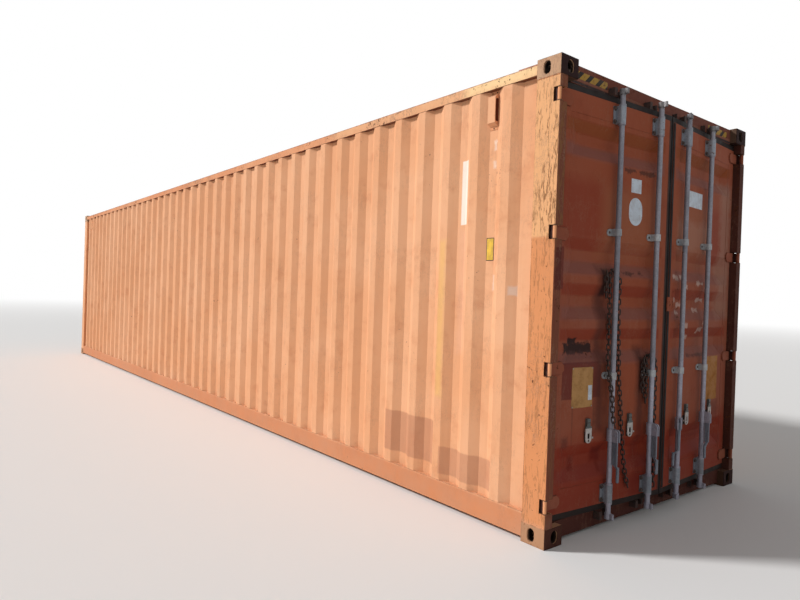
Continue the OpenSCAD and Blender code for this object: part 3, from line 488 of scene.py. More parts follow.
class Graph:
    """Short way to add and wire shader nodes in one tree."""

    def __init__(self, tree: bpy.types.NodeTree) -> None:
        """Keeps the tree.

        Args:
            tree: Node tree to fill.
        """
        self.tree = tree

    def add(self, kind: str, feeds: dict[str, Any] | None = None, **settings: Any) -> bpy.types.Node:
        """Adds one node.

        Args:
            kind: Node type without its ShaderNode prefix.
            feeds: What goes into its inputs: a socket, number, colour or vector for each name.
            settings: Attributes of the node.

        Returns:
            The node.
        """
        node = self.tree.nodes.new("ShaderNode" + kind)
        for key, value in settings.items():
            setattr(node, key, value)
        for key, value in (feeds or {}).items():
            self.feed(node.inputs[key], value)
        return node

    def feed(self, socket: bpy.types.NodeSocket, value: Any) -> None:
        """Links a socket or sets its value.

        Args:
            socket: Input socket.
            value: Output socket to link, or a plain value.
        """
        if isinstance(value, bpy.types.NodeSocket):
            self.tree.links.new(value, socket)
        elif socket.type == "RGBA":
            socket.default_value = (*value[:3], 1.0)
        else:
            socket.default_value = value

    def mix(self, share: Any, a: Any, b: Any, blend: str = "MIX") -> bpy.types.NodeSocket:
        """Mixes two colours.

        Args:
            share: Share of the second colour.
            a: First colour.
            b: Second colour.
            blend: Blend type.

        Returns:
            The mixed colour's socket.
        """
        node = self.add("Mix", data_type="RGBA", blend_type=blend, clamp_factor=True)
        self.feed(node.inputs[0], share)
        self.feed(node.inputs[6], a)
        self.feed(node.inputs[7], b)
        return node.outputs[2]

    def math(self, operation: str, a: Any, b: Any = 0.0, clamp: bool = False) -> bpy.types.NodeSocket:
        """Works out one number from one or two.

        Args:
            operation: Blender's name of the operation.
            a: First number or socket.
            b: Second number or socket.
            clamp: Whether the result stays between 0 and 1.

        Returns:
            The result's socket.
        """
        node = self.add("Math", operation=operation, use_clamp=clamp)
        self.feed(node.inputs[0], a)
        self.feed(node.inputs[1], b)
        return node.outputs[0]

    def share(self, *values: Any) -> bpy.types.NodeSocket:
        """Multiplies shares one after another, and keeps the last product between 0 and 1.

        Args:
            values: Two or more numbers or sockets.

        Returns:
            The product's socket.
        """
        product = values[0]
        for value in values[1:-1]:
            product = self.math("MULTIPLY", product, value)
        return self.math("MULTIPLY", product, values[-1], True)

    def vectors(self, operation: str, a: Any, b: Any = None) -> bpy.types.NodeSocket:
        """Works out a vector, or the number of a length or a dot product.

        Args:
            operation: Blender's name of the operation.
            a: First vector.
            b: Second vector, where the operation takes one.

        Returns:
            The result's socket.
        """
        node = self.add("VectorMath", operation=operation)
        self.feed(node.inputs[0], a)
        if b is not None:
            self.feed(node.inputs[1], b)
        return node.outputs["Value" if operation in ("DOT_PRODUCT", "LENGTH") else "Vector"]

    def seen(self) -> bpy.types.NodeSocket:
        """Tells what the camera sees, also by gloss or through glass, from what only gives light.

        Returns:
            A socket that is 1 for camera, gloss and transmission rays and 0 for the rest.
        """
        rays = self.add("LightPath").outputs
        direct = self.math("MAXIMUM", rays["Is Camera Ray"], rays["Is Glossy Ray"])
        return self.math("MAXIMUM", direct, rays["Is Transmission Ray"])

    def ramp(self, value: Any, low: float, high: float, to_low: float = 0.0,
             to_high: float = 1.0) -> bpy.types.NodeSocket:
        """Eases a number from one range into another.

        Args:
            value: Number or socket.
            low: Value that gives to_low.
            high: Value that gives to_high.
            to_low: Result at the low end.
            to_high: Result at the high end.

        Returns:
            The eased number's socket.
        """
        node = self.add("MapRange", {"Value": value}, interpolation_type="SMOOTHSTEP")
        for key, number in zip(("From Min", "From Max", "To Min", "To Max"), (low, high, to_low, to_high)):
            node.inputs[key].default_value = number
        return node.outputs["Result"]

    def noise(self, vector: Any, scale: Any, detail: float = 5.0, rough: float = 0.55,
              stretch: Vec = PLAIN, shift: Vec = NO_SHIFT) -> bpy.types.NodeSocket:
        """Adds a noise on stretched coordinates.

        Args:
            vector: Coordinates.
            scale: Scale of the noise.
            detail: Octaves.
            rough: Share of the fine octaves.
            stretch: Scale along each axis.
            shift: Shift along each axis, so that two noises differ.

        Returns:
            The noise's value socket.
        """
        node = self.add("Mapping", {"Vector": vector, "Scale": stretch, "Location": shift})
        noise = self.add("TexNoise", {"Vector": node.outputs[0], "Scale": scale, "Detail": detail,
                                      "Roughness": rough})
        return noise.outputs["Fac"]


VECTOR = ("Vector", "Vector", None)
MASK = ("Mask", "Float")


def group(name: str, inputs: Sequence[tuple[str, str, Any]],
          outputs: Sequence[tuple[str, str]]) -> tuple[Graph, Any, Any]:
    """Starts a shared shader node group.

    Args:
        name: Name of the group.
        inputs: Name, kind and default of each input.
        outputs: Name and kind of each output.

    Returns:
        The graph, the sockets that give its inputs, and the sockets that take its results.
    """
    tree = bpy.data.node_groups.new(name, "ShaderNodeTree")
    for key, kind, default in inputs:
        socket = tree.interface.new_socket(name=key, in_out="INPUT", socket_type="NodeSocket" + kind)
        if kind == "Color":
            socket.default_value = (*default, 1.0)
        elif default is not None:
            socket.default_value = default
    for key, kind in outputs:
        tree.interface.new_socket(name=key, in_out="OUTPUT", socket_type="NodeSocket" + kind)
    given, result = tree.nodes.new("NodeGroupInput"), tree.nodes.new("NodeGroupOutput")
    return Graph(tree), given.outputs, result.inputs


class Weather:
    """Shared node groups for what the years did to the surfaces."""

    def __init__(self) -> None:
        """Builds every group once."""
        self.fading = self._fading()
        self.streaks = self._streaks()
        self.scratches = self._scratches()
        self.scrapes = self._scrapes()
        self.rust = self._rust()
        self.wear = self._wear()
        self.field = self._field()
        self.dust = self._dust()
        LOG.info("shader groups: %d", len(bpy.data.node_groups))

    def use(self, graph: Graph, tree: bpy.types.NodeTree, **feeds: Any) -> bpy.types.Node:
        """Places a group in a material.

        Args:
            graph: The material's graph.
            tree: The group.
            feeds: What goes into its inputs.

        Returns:
            The group's node.
        """
        node = graph.add("Group", node_tree=tree)
        for key, value in feeds.items():
            graph.feed(node.inputs[key], value)
        return node

    def _fading(self) -> bpy.types.NodeTree:
        """Cloudy change between the base, a faded and a deeper colour.

        A broad noise mixes in the faded colour, and a finer one the deeper colour.

        Returns:
            The group's tree.
        """
        g, given, result = group("Fading", [
            VECTOR, ("Base", "Color", (0.5, 0.2, 0.1)), ("Faded", "Color", (0.6, 0.3, 0.2)),
            ("Deep", "Color", (0.3, 0.1, 0.05)), ("Amount", "Float", 0.7)],
            [("Color", "Color"), ("Height", "Float")])
        broad = g.noise(given["Vector"], 0.9, 6.0, 0.62)
        share = g.share(g.ramp(broad, 0.36, 0.66), given["Amount"])
        colour = g.mix(share, given["Base"], given["Faded"])
        fine = g.noise(given["Vector"], 6.5, 8.0, 0.66, shift=(3.1, 1.7, 0.4))
        low = g.share(g.ramp(fine, 0.50, 0.72), g.math("MULTIPLY", given["Amount"], 0.55))
        colour = g.mix(low, colour, given["Deep"])
        g.feed(result["Color"], colour)
        g.feed(result["Height"], g.noise(given["Vector"], 90.0, 4.0, 0.6))
        return g.tree

    def _streaks(self) -> bpy.types.NodeTree:
        """Rain streaks: a noise drawn out along Z, twice, at two widths.

        Returns:
            The group's tree.
        """
        g, given, result = group("Rain streaks", [VECTOR, ("Amount", "Float", 0.4)], [MASK])
        wide = g.noise(given["Vector"], 1.0, 5.0, 0.6, (7.0, 7.0, 0.5))
        thin = g.noise(given["Vector"], 1.0, 4.0, 0.6, (34.0, 34.0, 1.3), (2.0, 5.0, 0.0))
        mask = g.share(g.ramp(wide, 0.45, 0.72), g.ramp(thin, 0.42, 0.68), given["Amount"])
        g.feed(result["Mask"], mask)
        return g.tree

    def _scratches(self) -> bpy.types.NodeTree:
        """Fine scratches: narrow bands where drawn-out noises cross their middle value.

        Two noises run up and down and a weaker one lies across, and a broad noise breaks them up.

        Returns:
            The group's tree.
        """
        g, given, result = group("Scratches", [VECTOR, ("Amount", "Float", 0.4)], [MASK])
        bands = []
        for stretch, shift in (((9.0, 9.0, 1.6), NO_SHIFT), ((14.0, 14.0, 4.0), (7.0, 3.0, 2.0)),
                               ((2.5, 2.5, 10.0), (4.0, 9.0, 5.0))):
            value = g.noise(given["Vector"], 1.0, 6.0, 0.7, stretch, shift)
            away = g.math("ABSOLUTE", g.math("SUBTRACT", value, 0.5))
            bands.append(g.ramp(away, 0.010, 0.002))
        upright = g.math("MAXIMUM", bands[0], bands[1])
        lines = g.math("MAXIMUM", upright, g.math("MULTIPLY", bands[2], 0.5))
        broken = g.ramp(g.noise(given["Vector"], 3.2, 5.0, 0.65, shift=(1.0, 8.0, 3.0)), 0.46, 0.60)
        g.feed(result["Mask"], g.share(lines, broken, given["Amount"]))
        return g.tree

    def _scrapes(self) -> bpy.types.NodeTree:
        """Rough scrapes down a post: flecks and wavy lines drawn out along Z.

        The flecks are the peaks of a drawn-out noise. The lines are where a second one crosses its middle
        value, and a broad noise breaks both up. They are whole between two heights, and a little more
        than half as strong elsewhere.

        Returns:
            The group's tree.
        """
        g, given, result = group("Scrapes", [
            VECTOR, ("Amount", "Float", 0.5), ("Low", "Float", 1.85), ("High", "Float", 2.60)], [MASK])
        peaks = g.noise(given["Vector"], 1.0, 7.0, 0.72, (56.0, 56.0, 14.0), (3.0, 1.0, 2.0))
        flecks = g.ramp(peaks, 0.550, 0.610)
        wavy = g.noise(given["Vector"], 1.0, 5.0, 0.62, (17.0, 17.0, 2.3), (8.0, 2.0, 5.0))
        lines = g.ramp(g.math("ABSOLUTE", g.math("SUBTRACT", wavy, 0.5)), 0.026, 0.008)
        broad = g.noise(given["Vector"], 5.0, 5.0, 0.65, (1.0, 1.0, 0.5), (6.0, 8.0, 3.0))
        axes = g.add("SeparateXYZ", {"Vector": given["Vector"]})
        over = g.math("SUBTRACT", axes.outputs["Z"], given["Low"])
        below = g.math("SUBTRACT", given["High"], axes.outputs["Z"])
        inside = g.ramp(g.math("MINIMUM", over, below), -0.10, 0.10, 0.55, 1.0)
        both = g.math("MAXIMUM", flecks, lines)
        g.feed(result["Mask"], g.share(both, g.ramp(broad, 0.36, 0.52), inside, given["Amount"]))
        return g.tree

    def _rust(self) -> bpy.types.NodeTree:
        """Rust spots: the peaks of a fine noise, kept only inside the peaks of a broad one.

        Returns:
            The group's tree.
        """
        g, given, result = group("Rust spots", [VECTOR, ("Amount", "Float", 0.4), ("Scale", "Float", 1.0)],
                                 [MASK, ("Color", "Color"), ("Height", "Float")])
        vector, scale = given["Vector"], given["Scale"]
        fine = g.noise(vector, g.math("MULTIPLY", scale, 34.0), 7.0, 0.68)
        broad = g.noise(vector, g.math("MULTIPLY", scale, 2.6), 4.0, 0.6, shift=(5.0, 2.0, 9.0))
        edge = g.math("SUBTRACT", 0.80, g.math("MULTIPLY", given["Amount"], 0.17))
        total = g.math("ADD", g.math("MULTIPLY", fine, 0.62), g.math("MULTIPLY", broad, 0.38))
        over = g.math("SUBTRACT", total, g.math("MULTIPLY", edge, 0.84))
        mask = g.share(over, 34.0)
        tone = g.noise(vector, 60.0, 5.0, 0.7, shift=(1.0, 1.0, 4.0))
        colour = g.mix(g.ramp(tone, 0.35, 0.65), (0.040, 0.014, 0.008), (0.150, 0.050, 0.020))
        g.feed(result["Mask"], mask)
        g.feed(result["Color"], colour)
        g.feed(result["Height"], g.math("MULTIPLY", mask, tone))
        return g.tree

    def _wear(self) -> bpy.types.NodeTree:
        """Wear along edges: how far a rounded normal leans from the true one, broken up by a noise.

        The rounded normal is given out as well, for edges that should look rounded.

        Returns:
            The group's tree.
        """
        g, given, result = group("Edge wear", [VECTOR, ("Amount", "Float", 0.5), ("Radius", "Float", 0.008)],
                                 [MASK, ("Normal", "Vector")])
        bevel = g.add("Bevel", {"Radius": given["Radius"]}, samples=4)
        true = g.add("NewGeometry").outputs["Normal"]
        lean = g.ramp(g.vectors("DOT_PRODUCT", bevel.outputs["Normal"], true), 0.995, 0.88)
        torn = g.ramp(g.noise(given["Vector"], 26.0, 6.0, 0.7), 0.40, 0.62)
        g.feed(result["Mask"], g.share(lean, torn, given["Amount"]))
        g.feed(result["Normal"], bevel.outputs["Normal"])
        return g.tree

    def _field(self) -> bpy.types.NodeTree:
        """A box-shaped field: 1 inside, 0 outside, along the largest of the three distances from its faces.

        Noise moves the distance by up to the ragged value before the soft edge is taken.

        Returns:
            The group's tree.
        """
        g, given, result = group("Field", [
            VECTOR, ("Centre", "Vector", None), ("Half", "Vector", None),
            ("Soft", "Float", 0.004), ("Ragged", "Float", 0.0)], [MASK])
        off = g.vectors("ABSOLUTE", g.vectors("SUBTRACT", given["Vector"], given["Centre"]))
        axes = g.add("SeparateXYZ", {"Vector": g.vectors("SUBTRACT", off, given["Half"])})
        far = g.math("MAXIMUM", g.math("MAXIMUM", axes.outputs[0], axes.outputs[1]), axes.outputs[2])
        torn = g.math("SUBTRACT", g.noise(given["Vector"], 17.0, 7.0, 0.7), 0.5)
        wander = g.math("MULTIPLY", torn, g.math("MULTIPLY", given["Ragged"], 4.0))
        far = g.math("ADD", far, wander)
        mask = g.math("SUBTRACT", 0.5, g.math("DIVIDE", far, given["Soft"]), True)
        g.feed(result["Mask"], mask)
        return g.tree

    def _dust(self) -> bpy.types.NodeTree:
        """Dust and mud: on faces that look up, and over the object's lowest stretch, thinning upwards.

        Returns:
            The group's tree.
        """
        g, given, result = group("Dust", [VECTOR, ("Amount", "Float", 0.4)], [MASK])
        normal = g.add("SeparateXYZ", {"Vector": g.add("NewGeometry").outputs["Normal"]})
        height = g.add("SeparateXYZ", {"Vector": given["Vector"]})
        up = g.ramp(normal.outputs["Z"], 0.55, 0.95)
        low = g.math("MULTIPLY", g.ramp(height.outputs["Z"], 0.42, 0.0), 0.75)
        cloud = g.ramp(g.noise(given["Vector"], 5.0, 8.0, 0.7), 0.30, 0.66)
        g.feed(result["Mask"], g.share(g.math("MAXIMUM", up, low), cloud, given["Amount"]))
        return g.tree


DUST: Colour = (0.42, 0.31, 0.24)
BARE: Colour = (0.30, 0.17, 0.11)
SCRAPED: Colour = (0.21, 0.090, 0.034)
BLACK: Colour = (0.012, 0.008, 0.007)
SHADED: Colour = (0.070, 0.018, 0.011)
# Near-black colour of painted deep shade.
DEEP_SHADE: Colour = (0.017, 0.0045, 0.0040)


def tinted(colour: Colour, red: float, green: float, blue: float) -> Colour:
    """Multiplies the three parts of a colour by a number each."""
    return (colour[0] * red, colour[1] * green, colour[2] * blue)


class PaintShop:
    """Makes every material of the container from the shared groups."""

    def __init__(self, weather: Weather) -> None:
        """Keeps the shared groups.

        Args:
            weather: The shared groups.
        """
        self.weather = weather

    def start(self, name: str) -> tuple[bpy.types.Material, Graph, bpy.types.Node, bpy.types.NodeSocket]:
        """Starts a material.

        Args:
            name: Name of the material.

        Returns:
            The material, its graph, its Principled shader and its object coordinates.
        """
        finish = bpy.data.materials.new(name)
        finish.use_nodes = True
        graph = Graph(finish.node_tree)
        shader = finish.node_tree.nodes["Principled BSDF"]
        return finish, graph, shader, graph.add("TexCoord").outputs["Object"]

    def coat(self, g: Graph, shader: bpy.types.Node, colour: Any, rough: Any, height: Any,
             bump: tuple[float, float], gloss: float | None = None, normal: Any = None) -> None:
        """Feeds a shader its colour, roughness and bump.

        Args:
            g: The material's graph.
            shader: Its Principled shader.
            colour: Colour socket.
            rough: Roughness socket.
            height: Height socket of the bump.
            bump: The bump's strength, and its height in metres.
            gloss: Specular level, if it isn't the shader's own.
            normal: Normal that the bump starts from, if it isn't the mesh's own.
        """
        g.feed(shader.inputs["Base Color"], colour)
        g.feed(shader.inputs["Roughness"], rough)
        node = g.add("Bump", {"Height": height, "Strength": bump[0], "Distance": bump[1]})
        if normal is not None:
            g.feed(node.inputs["Normal"], normal)
        g.feed(shader.inputs["Normal"], node.outputs["Normal"])
        if gloss is not None:
            shader.inputs["Specular IOR Level"].default_value = gloss

    def worn(self, g: Graph, tree: bpy.types.NodeTree, colour: Any, tint: Any = None,
             **feeds: Any) -> tuple[bpy.types.NodeSocket, bpy.types.Node]:
        """Places a shared group and lays a tint over a colour where its mask is.

        Args:
            g: The material's graph.
            tree: The group.
            colour: Colour so far.
            tint: Colour to lay over it, or the group's own if none is given.
            feeds: What goes into the group's inputs.

        Returns:
            The new colour's socket and the group's node.
        """
        node = self.weather.use(g, tree, **feeds)
        over = node.outputs["Color"] if tint is None else tint
        return g.mix(node.outputs["Mask"], colour, over), node

    def laid(self, g: Graph, vector: Any, colour: Any, marks: Sequence[Mark], shown: Any = None) -> Any:
        """Lays fields over a colour, one after another.

        Args:
            g: The material's graph.
            vector: Object coordinates.
            colour: Colour so far.
            marks: The fields.
            shown: Share of every field that shows, if it isn't the whole.

        Returns:
            The new colour's socket, or the colour as given where there are no fields.
        """
        for mark in marks:
            area = self.weather.use(g, self.weather.field, Vector=vector, Centre=mark.centre,
                                    Half=mark.half, Soft=mark.soft, Ragged=mark.ragged)
            share = g.share(area.outputs["Mask"], mark.strength)
            if shown is not None:
                share = g.share(share, shown)
            colour = g.mix(share, colour, mark.colour)
        return colour

    def paint(self, look: Paint, marks: Sequence[Mark] = (), under: Sequence[Mark] = (),
              last: Sequence[Mark] = ()) -> bpy.types.Material:
        """Old paint: faded, streaked, marked, scratched, rusty at spots and edges, and dusty.

        Args:
            look: The finish's values.
            marks: Fields laid over the paint, in order.
            under: Fields that change the paint before the streaks.
            last: Fields over everything else, such as soot.

        Returns:
            The material.
        """
        finish, g, shader, vector = self.start(look.name)
        w = self.weather
        fading = w.use(g, w.fading, Vector=vector, Base=look.base, Faded=look.faded, Deep=look.deep,
                       Amount=look.fade)
        shown = None
        if look.outward is not None:
            lean = g.vectors("DOT_PRODUCT", g.add("TexCoord").outputs["Normal"], look.outward)
            shown = g.ramp(lean, 0.0, 0.2)
        colour = self.laid(g, vector, fading.outputs["Color"], under, shown)
        colour, _ = self.worn(g, w.streaks, colour, look.deep, Vector=vector, Amount=look.streaks)
        colour = self.laid(g, vector, colour, marks, shown)
        colour, scratch = self.worn(g, w.scratches, colour, BARE, Vector=vector, Amount=look.scratches)
        if look.scrapes > 0:
            low, high = look.scrape_z
            colour, _ = self.worn(g, w.scrapes, colour, SCRAPED, Vector=vector, Amount=look.scrapes,
                                  Low=low, High=high)
        colour, rust = self.worn(g, w.rust, colour, Vector=vector, Amount=look.rust, Scale=1.0)
        colour, _ = self.worn(g, w.wear, colour, rust.outputs["Color"], Vector=vector, Amount=look.wear)
        colour, _ = self.worn(g, w.dust, colour, DUST, Vector=vector, Amount=look.dust)
        colour = self.laid(g, vector, colour, last, shown)
        rough = g.math("ADD", g.math("MULTIPLY", rust.outputs["Mask"], 0.22),
                       g.math("MULTIPLY", fading.outputs["Height"], 0.14))
        height = g.math("ADD", g.math("MULTIPLY", fading.outputs["Height"], 0.16), rust.outputs["Height"])
        height = g.math("SUBTRACT", height, g.math("MULTIPLY", scratch.outputs["Mask"], 0.6))
        if look.dents > 0:
            broad = g.noise(vector, 3.4, 3.0, 0.5, (1.0, 1.0, 0.6), (6.0, 1.0, 2.0))
            dents = g.math("MULTIPLY", g.ramp(broad, 0.30, 0.70), look.dents * 14.0)
            height = g.math("ADD", height, dents)
        edge = None
        if look.round_edges > 0:
            rounded = w.use(g, w.wear, Vector=vector, Amount=0.0, Radius=look.round_edges)
            edge = rounded.outputs["Normal"]
        self.coat(g, shader, colour, g.math("ADD", rough, look.rough, True), height, (0.55, 0.0011),
                  look.gloss, edge)
        return finish

    def zinc(self, name: str, base: Colour, dirt: float, rust: float,
             marks: Sequence[Mark] = ()) -> bpy.types.Material:
        """Dull galvanised steel: a spangle of small cells, darker dirt in runs and a few rust spots.

        Args:
            name: Name of the material.
            base: Colour of the clean metal.
            dirt: Amount of dirt.
            rust: Amount of rust.
            marks: Fields laid over the clean metal.

        Returns:
            The material.
        """
        finish, g, shader, vector = self.start(name)
        w = self.weather
        cells = g.add("TexVoronoi", {"Vector": vector, "Scale": 95.0})
        tone = g.ramp(cells.outputs["Color"], 0.0, 1.0, 0.86, 1.10)
        shade = g.add("CombineColor", {"Red": tone, "Green": tone, "Blue": tone})
        clean = self.laid(g, vector, base, marks)
        colour = g.mix(1.0, clean, shade.outputs[0], "MULTIPLY")
        cloud = g.ramp(g.noise(vector, 4.0, 7.0, 0.65, (1.0, 1.0, 0.5)), 0.42, 0.70)
        colour = g.mix(g.share(cloud, dirt), colour, tinted(base, 0.42, 0.42, 0.44))
        colour, _ = self.worn(g, w.streaks, colour, (0.16, 0.11, 0.09), Vector=vector, Amount=dirt)
        colour, spots = self.worn(g, w.rust, colour, Vector=vector, Amount=rust, Scale=1.6)
        colour, _ = self.worn(g, w.wear, colour, (0.17, 0.09, 0.06), Vector=vector, Amount=rust * 0.7,
                              Radius=0.003)
        g.feed(shader.inputs["Metallic"], g.ramp(spots.outputs["Mask"], 0.0, 1.0, 0.35, 0.0))
        rough = g.math("ADD", g.math("MULTIPLY", cloud, 0.16), 0.50, True)
        height = g.math("ADD", spots.outputs["Height"], g.noise(vector, 160.0, 3.0, 0.6))
        self.coat(g, shader, colour, rough, height, (0.35, 0.0005))
        return finish

    def rusty(self, name: str, dark: Colour, light: Colour, scale: float) -> bpy.types.Material:
        """Rusty bare steel: two noises, of flakes and of grain, between a dark and a light rust.

        Args:
            name: Name of the material.
            dark: Colour of the deep rust.
            light: Colour of the fresh rust.
            scale: Scale of the flakes.

        Returns:
            The material.
        """
        finish, g, shader, vector = self.start(name)
        flakes = g.noise(vector, scale, 8.0, 0.7)
        grain = g.noise(vector, scale * 7.0, 5.0, 0.7, shift=(2.0, 3.0, 1.0))
        colour = g.mix(g.ramp(flakes, 0.36, 0.66), dark, light)
        colour = g.mix(g.share(g.ramp(grain, 0.55, 0.80), 0.6), colour, tinted(light, 1.5, 1.25, 1.1))
        colour, _ = self.worn(g, self.weather.wear, colour, tinted(light, 1.7, 1.6, 1.6), Vector=vector,
                              Amount=0.5, Radius=0.003)
        height = g.math("ADD", flakes, g.math("MULTIPLY", grain, 0.4))
        self.coat(g, shader, colour, g.ramp(grain, 0.2, 0.8, 0.66, 0.92), height, (0.6, 0.0012))
        return finish

    def rubber(self) -> bpy.types.Material:
        """Door rubber: near black, greyed by dust in clouds, with fine cracks across.

        Returns:
            The material.
        """
        finish, g, shader, vector = self.start("door_rubber")
        cloud = g.ramp(g.noise(vector, 6.0, 7.0, 0.7), 0.38, 0.72)
        colour = g.mix(g.share(cloud, 0.55), (0.0115, 0.0082, 0.0078), (0.028, 0.0185, 0.0160))
        colour, _ = self.worn(g, self.weather.dust, colour, (0.14, 0.080, 0.055), Vector=vector, Amount=0.16)
        crack = g.noise(vector, 1.0, 5.0, 0.7, (60.0, 60.0, 220.0))
        self.coat(g, shader, colour, g.ramp(cloud, 0.0, 1.0, 0.55, 0.85), crack, (0.4, 0.0006), 0.14)
        return finish

    def boards(self) -> bpy.types.Material:
        """Plywood floor: grain drawn out along Y, darker wheel tracks and scuffs.

        Returns:
            The material.
        """
        finish, g, shader, vector = self.start("floor_plywood")
        grain = g.noise(vector, 1.0, 9.0, 0.7, (60.0, 1.6, 20.0))
        broad = g.noise(vector, 1.3, 6.0, 0.6, (1.0, 0.5, 1.0), (3.0, 7.0, 1.0))
        colour = g.mix(g.ramp(grain, 0.34, 0.68), (0.20, 0.115, 0.06), (0.42, 0.27, 0.15))
        colour = g.mix(g.share(g.ramp(broad, 0.44, 0.70), 0.7), colour, (0.13, 0.09, 0.065))
        colour, scratch = self.worn(g, self.weather.scratches, colour, (0.50, 0.37, 0.24), Vector=vector,
                                    Amount=0.7)
        height = g.math("SUBTRACT", grain, scratch.outputs["Mask"])
        self.coat(g, shader, colour, g.ramp(broad, 0.3, 0.7, 0.62, 0.84), height, (0.4, 0.0007))
        return finish

    def sticker(self, name: str, colour: Colour, dirt: float) -> bpy.types.Material:
        """Old foil or plate in one colour: clouded, speckled with dirt, and browned along its edges.

        Args:
            name: Name of the material.
            colour: Clean colour.
            dirt: Amount of dirt.

        Returns:
            The material.
        """
        finish, g, shader, vector = self.start(name)
        cloud = g.noise(vector, 14.0, 7.0, 0.7)
        speck = g.noise(vector, 120.0, 6.0, 0.75, shift=(2.0, 2.0, 6.0))
        tone = g.mix(g.share(g.ramp(cloud, 0.40, 0.70), dirt), colour, tinted(colour, 0.62, 0.58, 0.52))
        tone = g.mix(g.share(g.ramp(speck, 0.56, 0.70), dirt), tone, (0.15, 0.075, 0.045))
        tone, _ = self.worn(g, self.weather.wear, tone, (0.20, 0.10, 0.06), Vector=vector, Amount=dirt,
                            Radius=0.006)
        height = g.math("ADD", cloud, g.math("MULTIPLY", speck, 0.4))
        self.coat(g, shader, tone, g.ramp(cloud, 0.3, 0.7, 0.45, 0.70), height, (0.3, 0.0005), 0.20)
        return finish

    def hazard(self) -> bpy.types.Material:
        """Hazard band in slanted stripes, worn through to paint.

        With x - 1.1 z cut into lengths of 105 mm, the middle 58 hundredths of each are yellow and the
        rest is black.

        Returns:
            The material.
        """
        finish, g, shader, vector = self.start("hazard_band")
        axes = g.add("SeparateXYZ", {"Vector": vector}).outputs
        along = g.math("SUBTRACT", axes["X"], g.math("MULTIPLY", axes["Z"], 1.1))
        stripe = g.math("FRACT", g.math("ADD", g.math("DIVIDE", along, 0.105), 40.0))
        black = g.ramp(g.math("ABSOLUTE", g.math("SUBTRACT", stripe, 0.5)), 0.285, 0.295)
        tone = g.mix(black, (0.36, 0.205, 0.035), (0.010, 0.007, 0.005))
        worn = g.ramp(g.noise(vector, 26.0, 8.0, 0.75), 0.54, 0.62)
        tone = g.mix(g.share(worn, 0.85), tone, (0.12, 0.048, 0.032))
        height = g.math("SUBTRACT", 1.0, worn)
        self.coat(g, shader, tone, g.ramp(worn, 0.0, 1.0, 0.5, 0.8), height, (0.4, 0.0006), 0.12)
        return finish


SUNNY = Paint("side_paint", (0.725, 0.352, 0.180), (0.795, 0.432, 0.247), (0.575, 0.228, 0.104),
              fade=0.75, streaks=0.26, scratches=0.24, rust=0.22, wear=0.30, dust=0.26, dents=0.30)
POST = Paint("post_paint", (0.640, 0.262, 0.125), (0.720, 0.345, 0.175), (0.500, 0.180, 0.080),
             fade=0.8, streaks=0.25, scratches=0.55, rust=0.45, wear=0.75, dust=0.30, rough=0.62, dents=0.05,
             scrapes=0.85)
RAIL = replace(POST, name="rail_paint", scratches=0.8, rust=0.6, scrapes=0.0)
ROOF = Paint("roof_paint", (0.560, 0.240, 0.150), (0.640, 0.330, 0.230), (0.360, 0.140, 0.080),
             fade=0.9, streaks=0.10, scratches=0.5, rust=0.75, wear=0.8, dust=0.75, rough=0.68, dents=0.10)
FRAME_DARK = Paint("end_frame_paint", (0.150, 0.043, 0.026), (0.185, 0.068, 0.050), (0.075, 0.020, 0.013),
                   fade=0.9, streaks=0.45, scratches=0.35, rust=0.65, wear=0.75, dust=0.16, rough=0.66)
# The far rear post's near-black colour is painted shade of the far corner.
FAR_POST = replace(FRAME_DARK, name="far_post_paint", base=(0.060, 0.018, 0.012), faded=(0.085, 0.028, 0.019),
                   deep=(0.035, 0.010, 0.007), dust=0.05)
CASTING = Paint("casting_paint", (0.500, 0.295, 0.175), (0.600, 0.400, 0.265), (0.290, 0.145, 0.085),
                fade=0.95, streaks=0.30, scratches=0.75, rust=0.70, wear=0.9, dust=0.35, rough=0.66,
                round_edges=0.009)
DOOR = Paint("door_paint", (0.285, 0.070, 0.032), (0.272, 0.083, 0.049), (0.205, 0.041, 0.017),
             fade=0.85, streaks=0.35, scratches=0.24, rust=0.34, wear=0.45, dust=0.12, rough=0.58, dents=0.04)
UNDER = Paint("under_paint", (0.085, 0.050, 0.040), (0.130, 0.075, 0.055), (0.030, 0.018, 0.014),
              fade=0.9, streaks=0.2, scratches=0.3, rust=0.8, wear=0.8, dust=0.8, rough=0.75)


class Shared:
    """A material that is made once and used by several classes."""

    def __init__(self, maker: str, *values: Any) -> None:
        """Keeps how to make the material.

        Args:
            maker: Name of the shop's method.
            values: What the method is given.
        """
        self.maker = maker
        self.values = values
        self.made: bpy.types.Material | None = None

    def get(self, shop: PaintShop) -> bpy.types.Material:
        """Makes the material at first use.

        Args:
            shop: The shop that makes it.

        Returns:
            The material.
        """
        if self.made is None:
            self.made = getattr(shop, self.maker)(*self.values)
        return self.made


NARROW = [Mark((0.36, 0.37, 0.38), (0.0, -6.06, z), (1.3, 0.20, 0.03), 0.004) for z in SIZES.narrow_z]
BLOCK = [Mark((0.085, 0.095, 0.092), (0.0, -6.06, 0.697), (1.3, 0.20, 0.0310), 0.003)]
ROD = [Mark((0.338, 0.328, 0.392), (0.0, -6.06, 0.50), (1.3, 0.3, 0.50), 0.25),
       Mark((0.150, 0.142, 0.140), (0.0, -6.06, 2.86), (1.3, 0.3, 0.085), 0.02, 0.006, 0.90)]
RUBBER = Shared("rubber")
ZINC = Shared("zinc", "rod_zinc", (0.228, 0.226, 0.260), 0.45, 0.30, ROD)
BRACKET_ZINC = Shared("zinc", "bracket_zinc", (0.238, 0.260, 0.296), 0.60, 0.40, NARROW)
HANDLE_ZINC = Shared("zinc", "handle_zinc", (0.182, 0.206, 0.248), 0.60, 0.40)
CATCH_ZINC = Shared("zinc", "catch_zinc", (0.47, 0.44, 0.42), 0.45, 0.50, BLOCK)
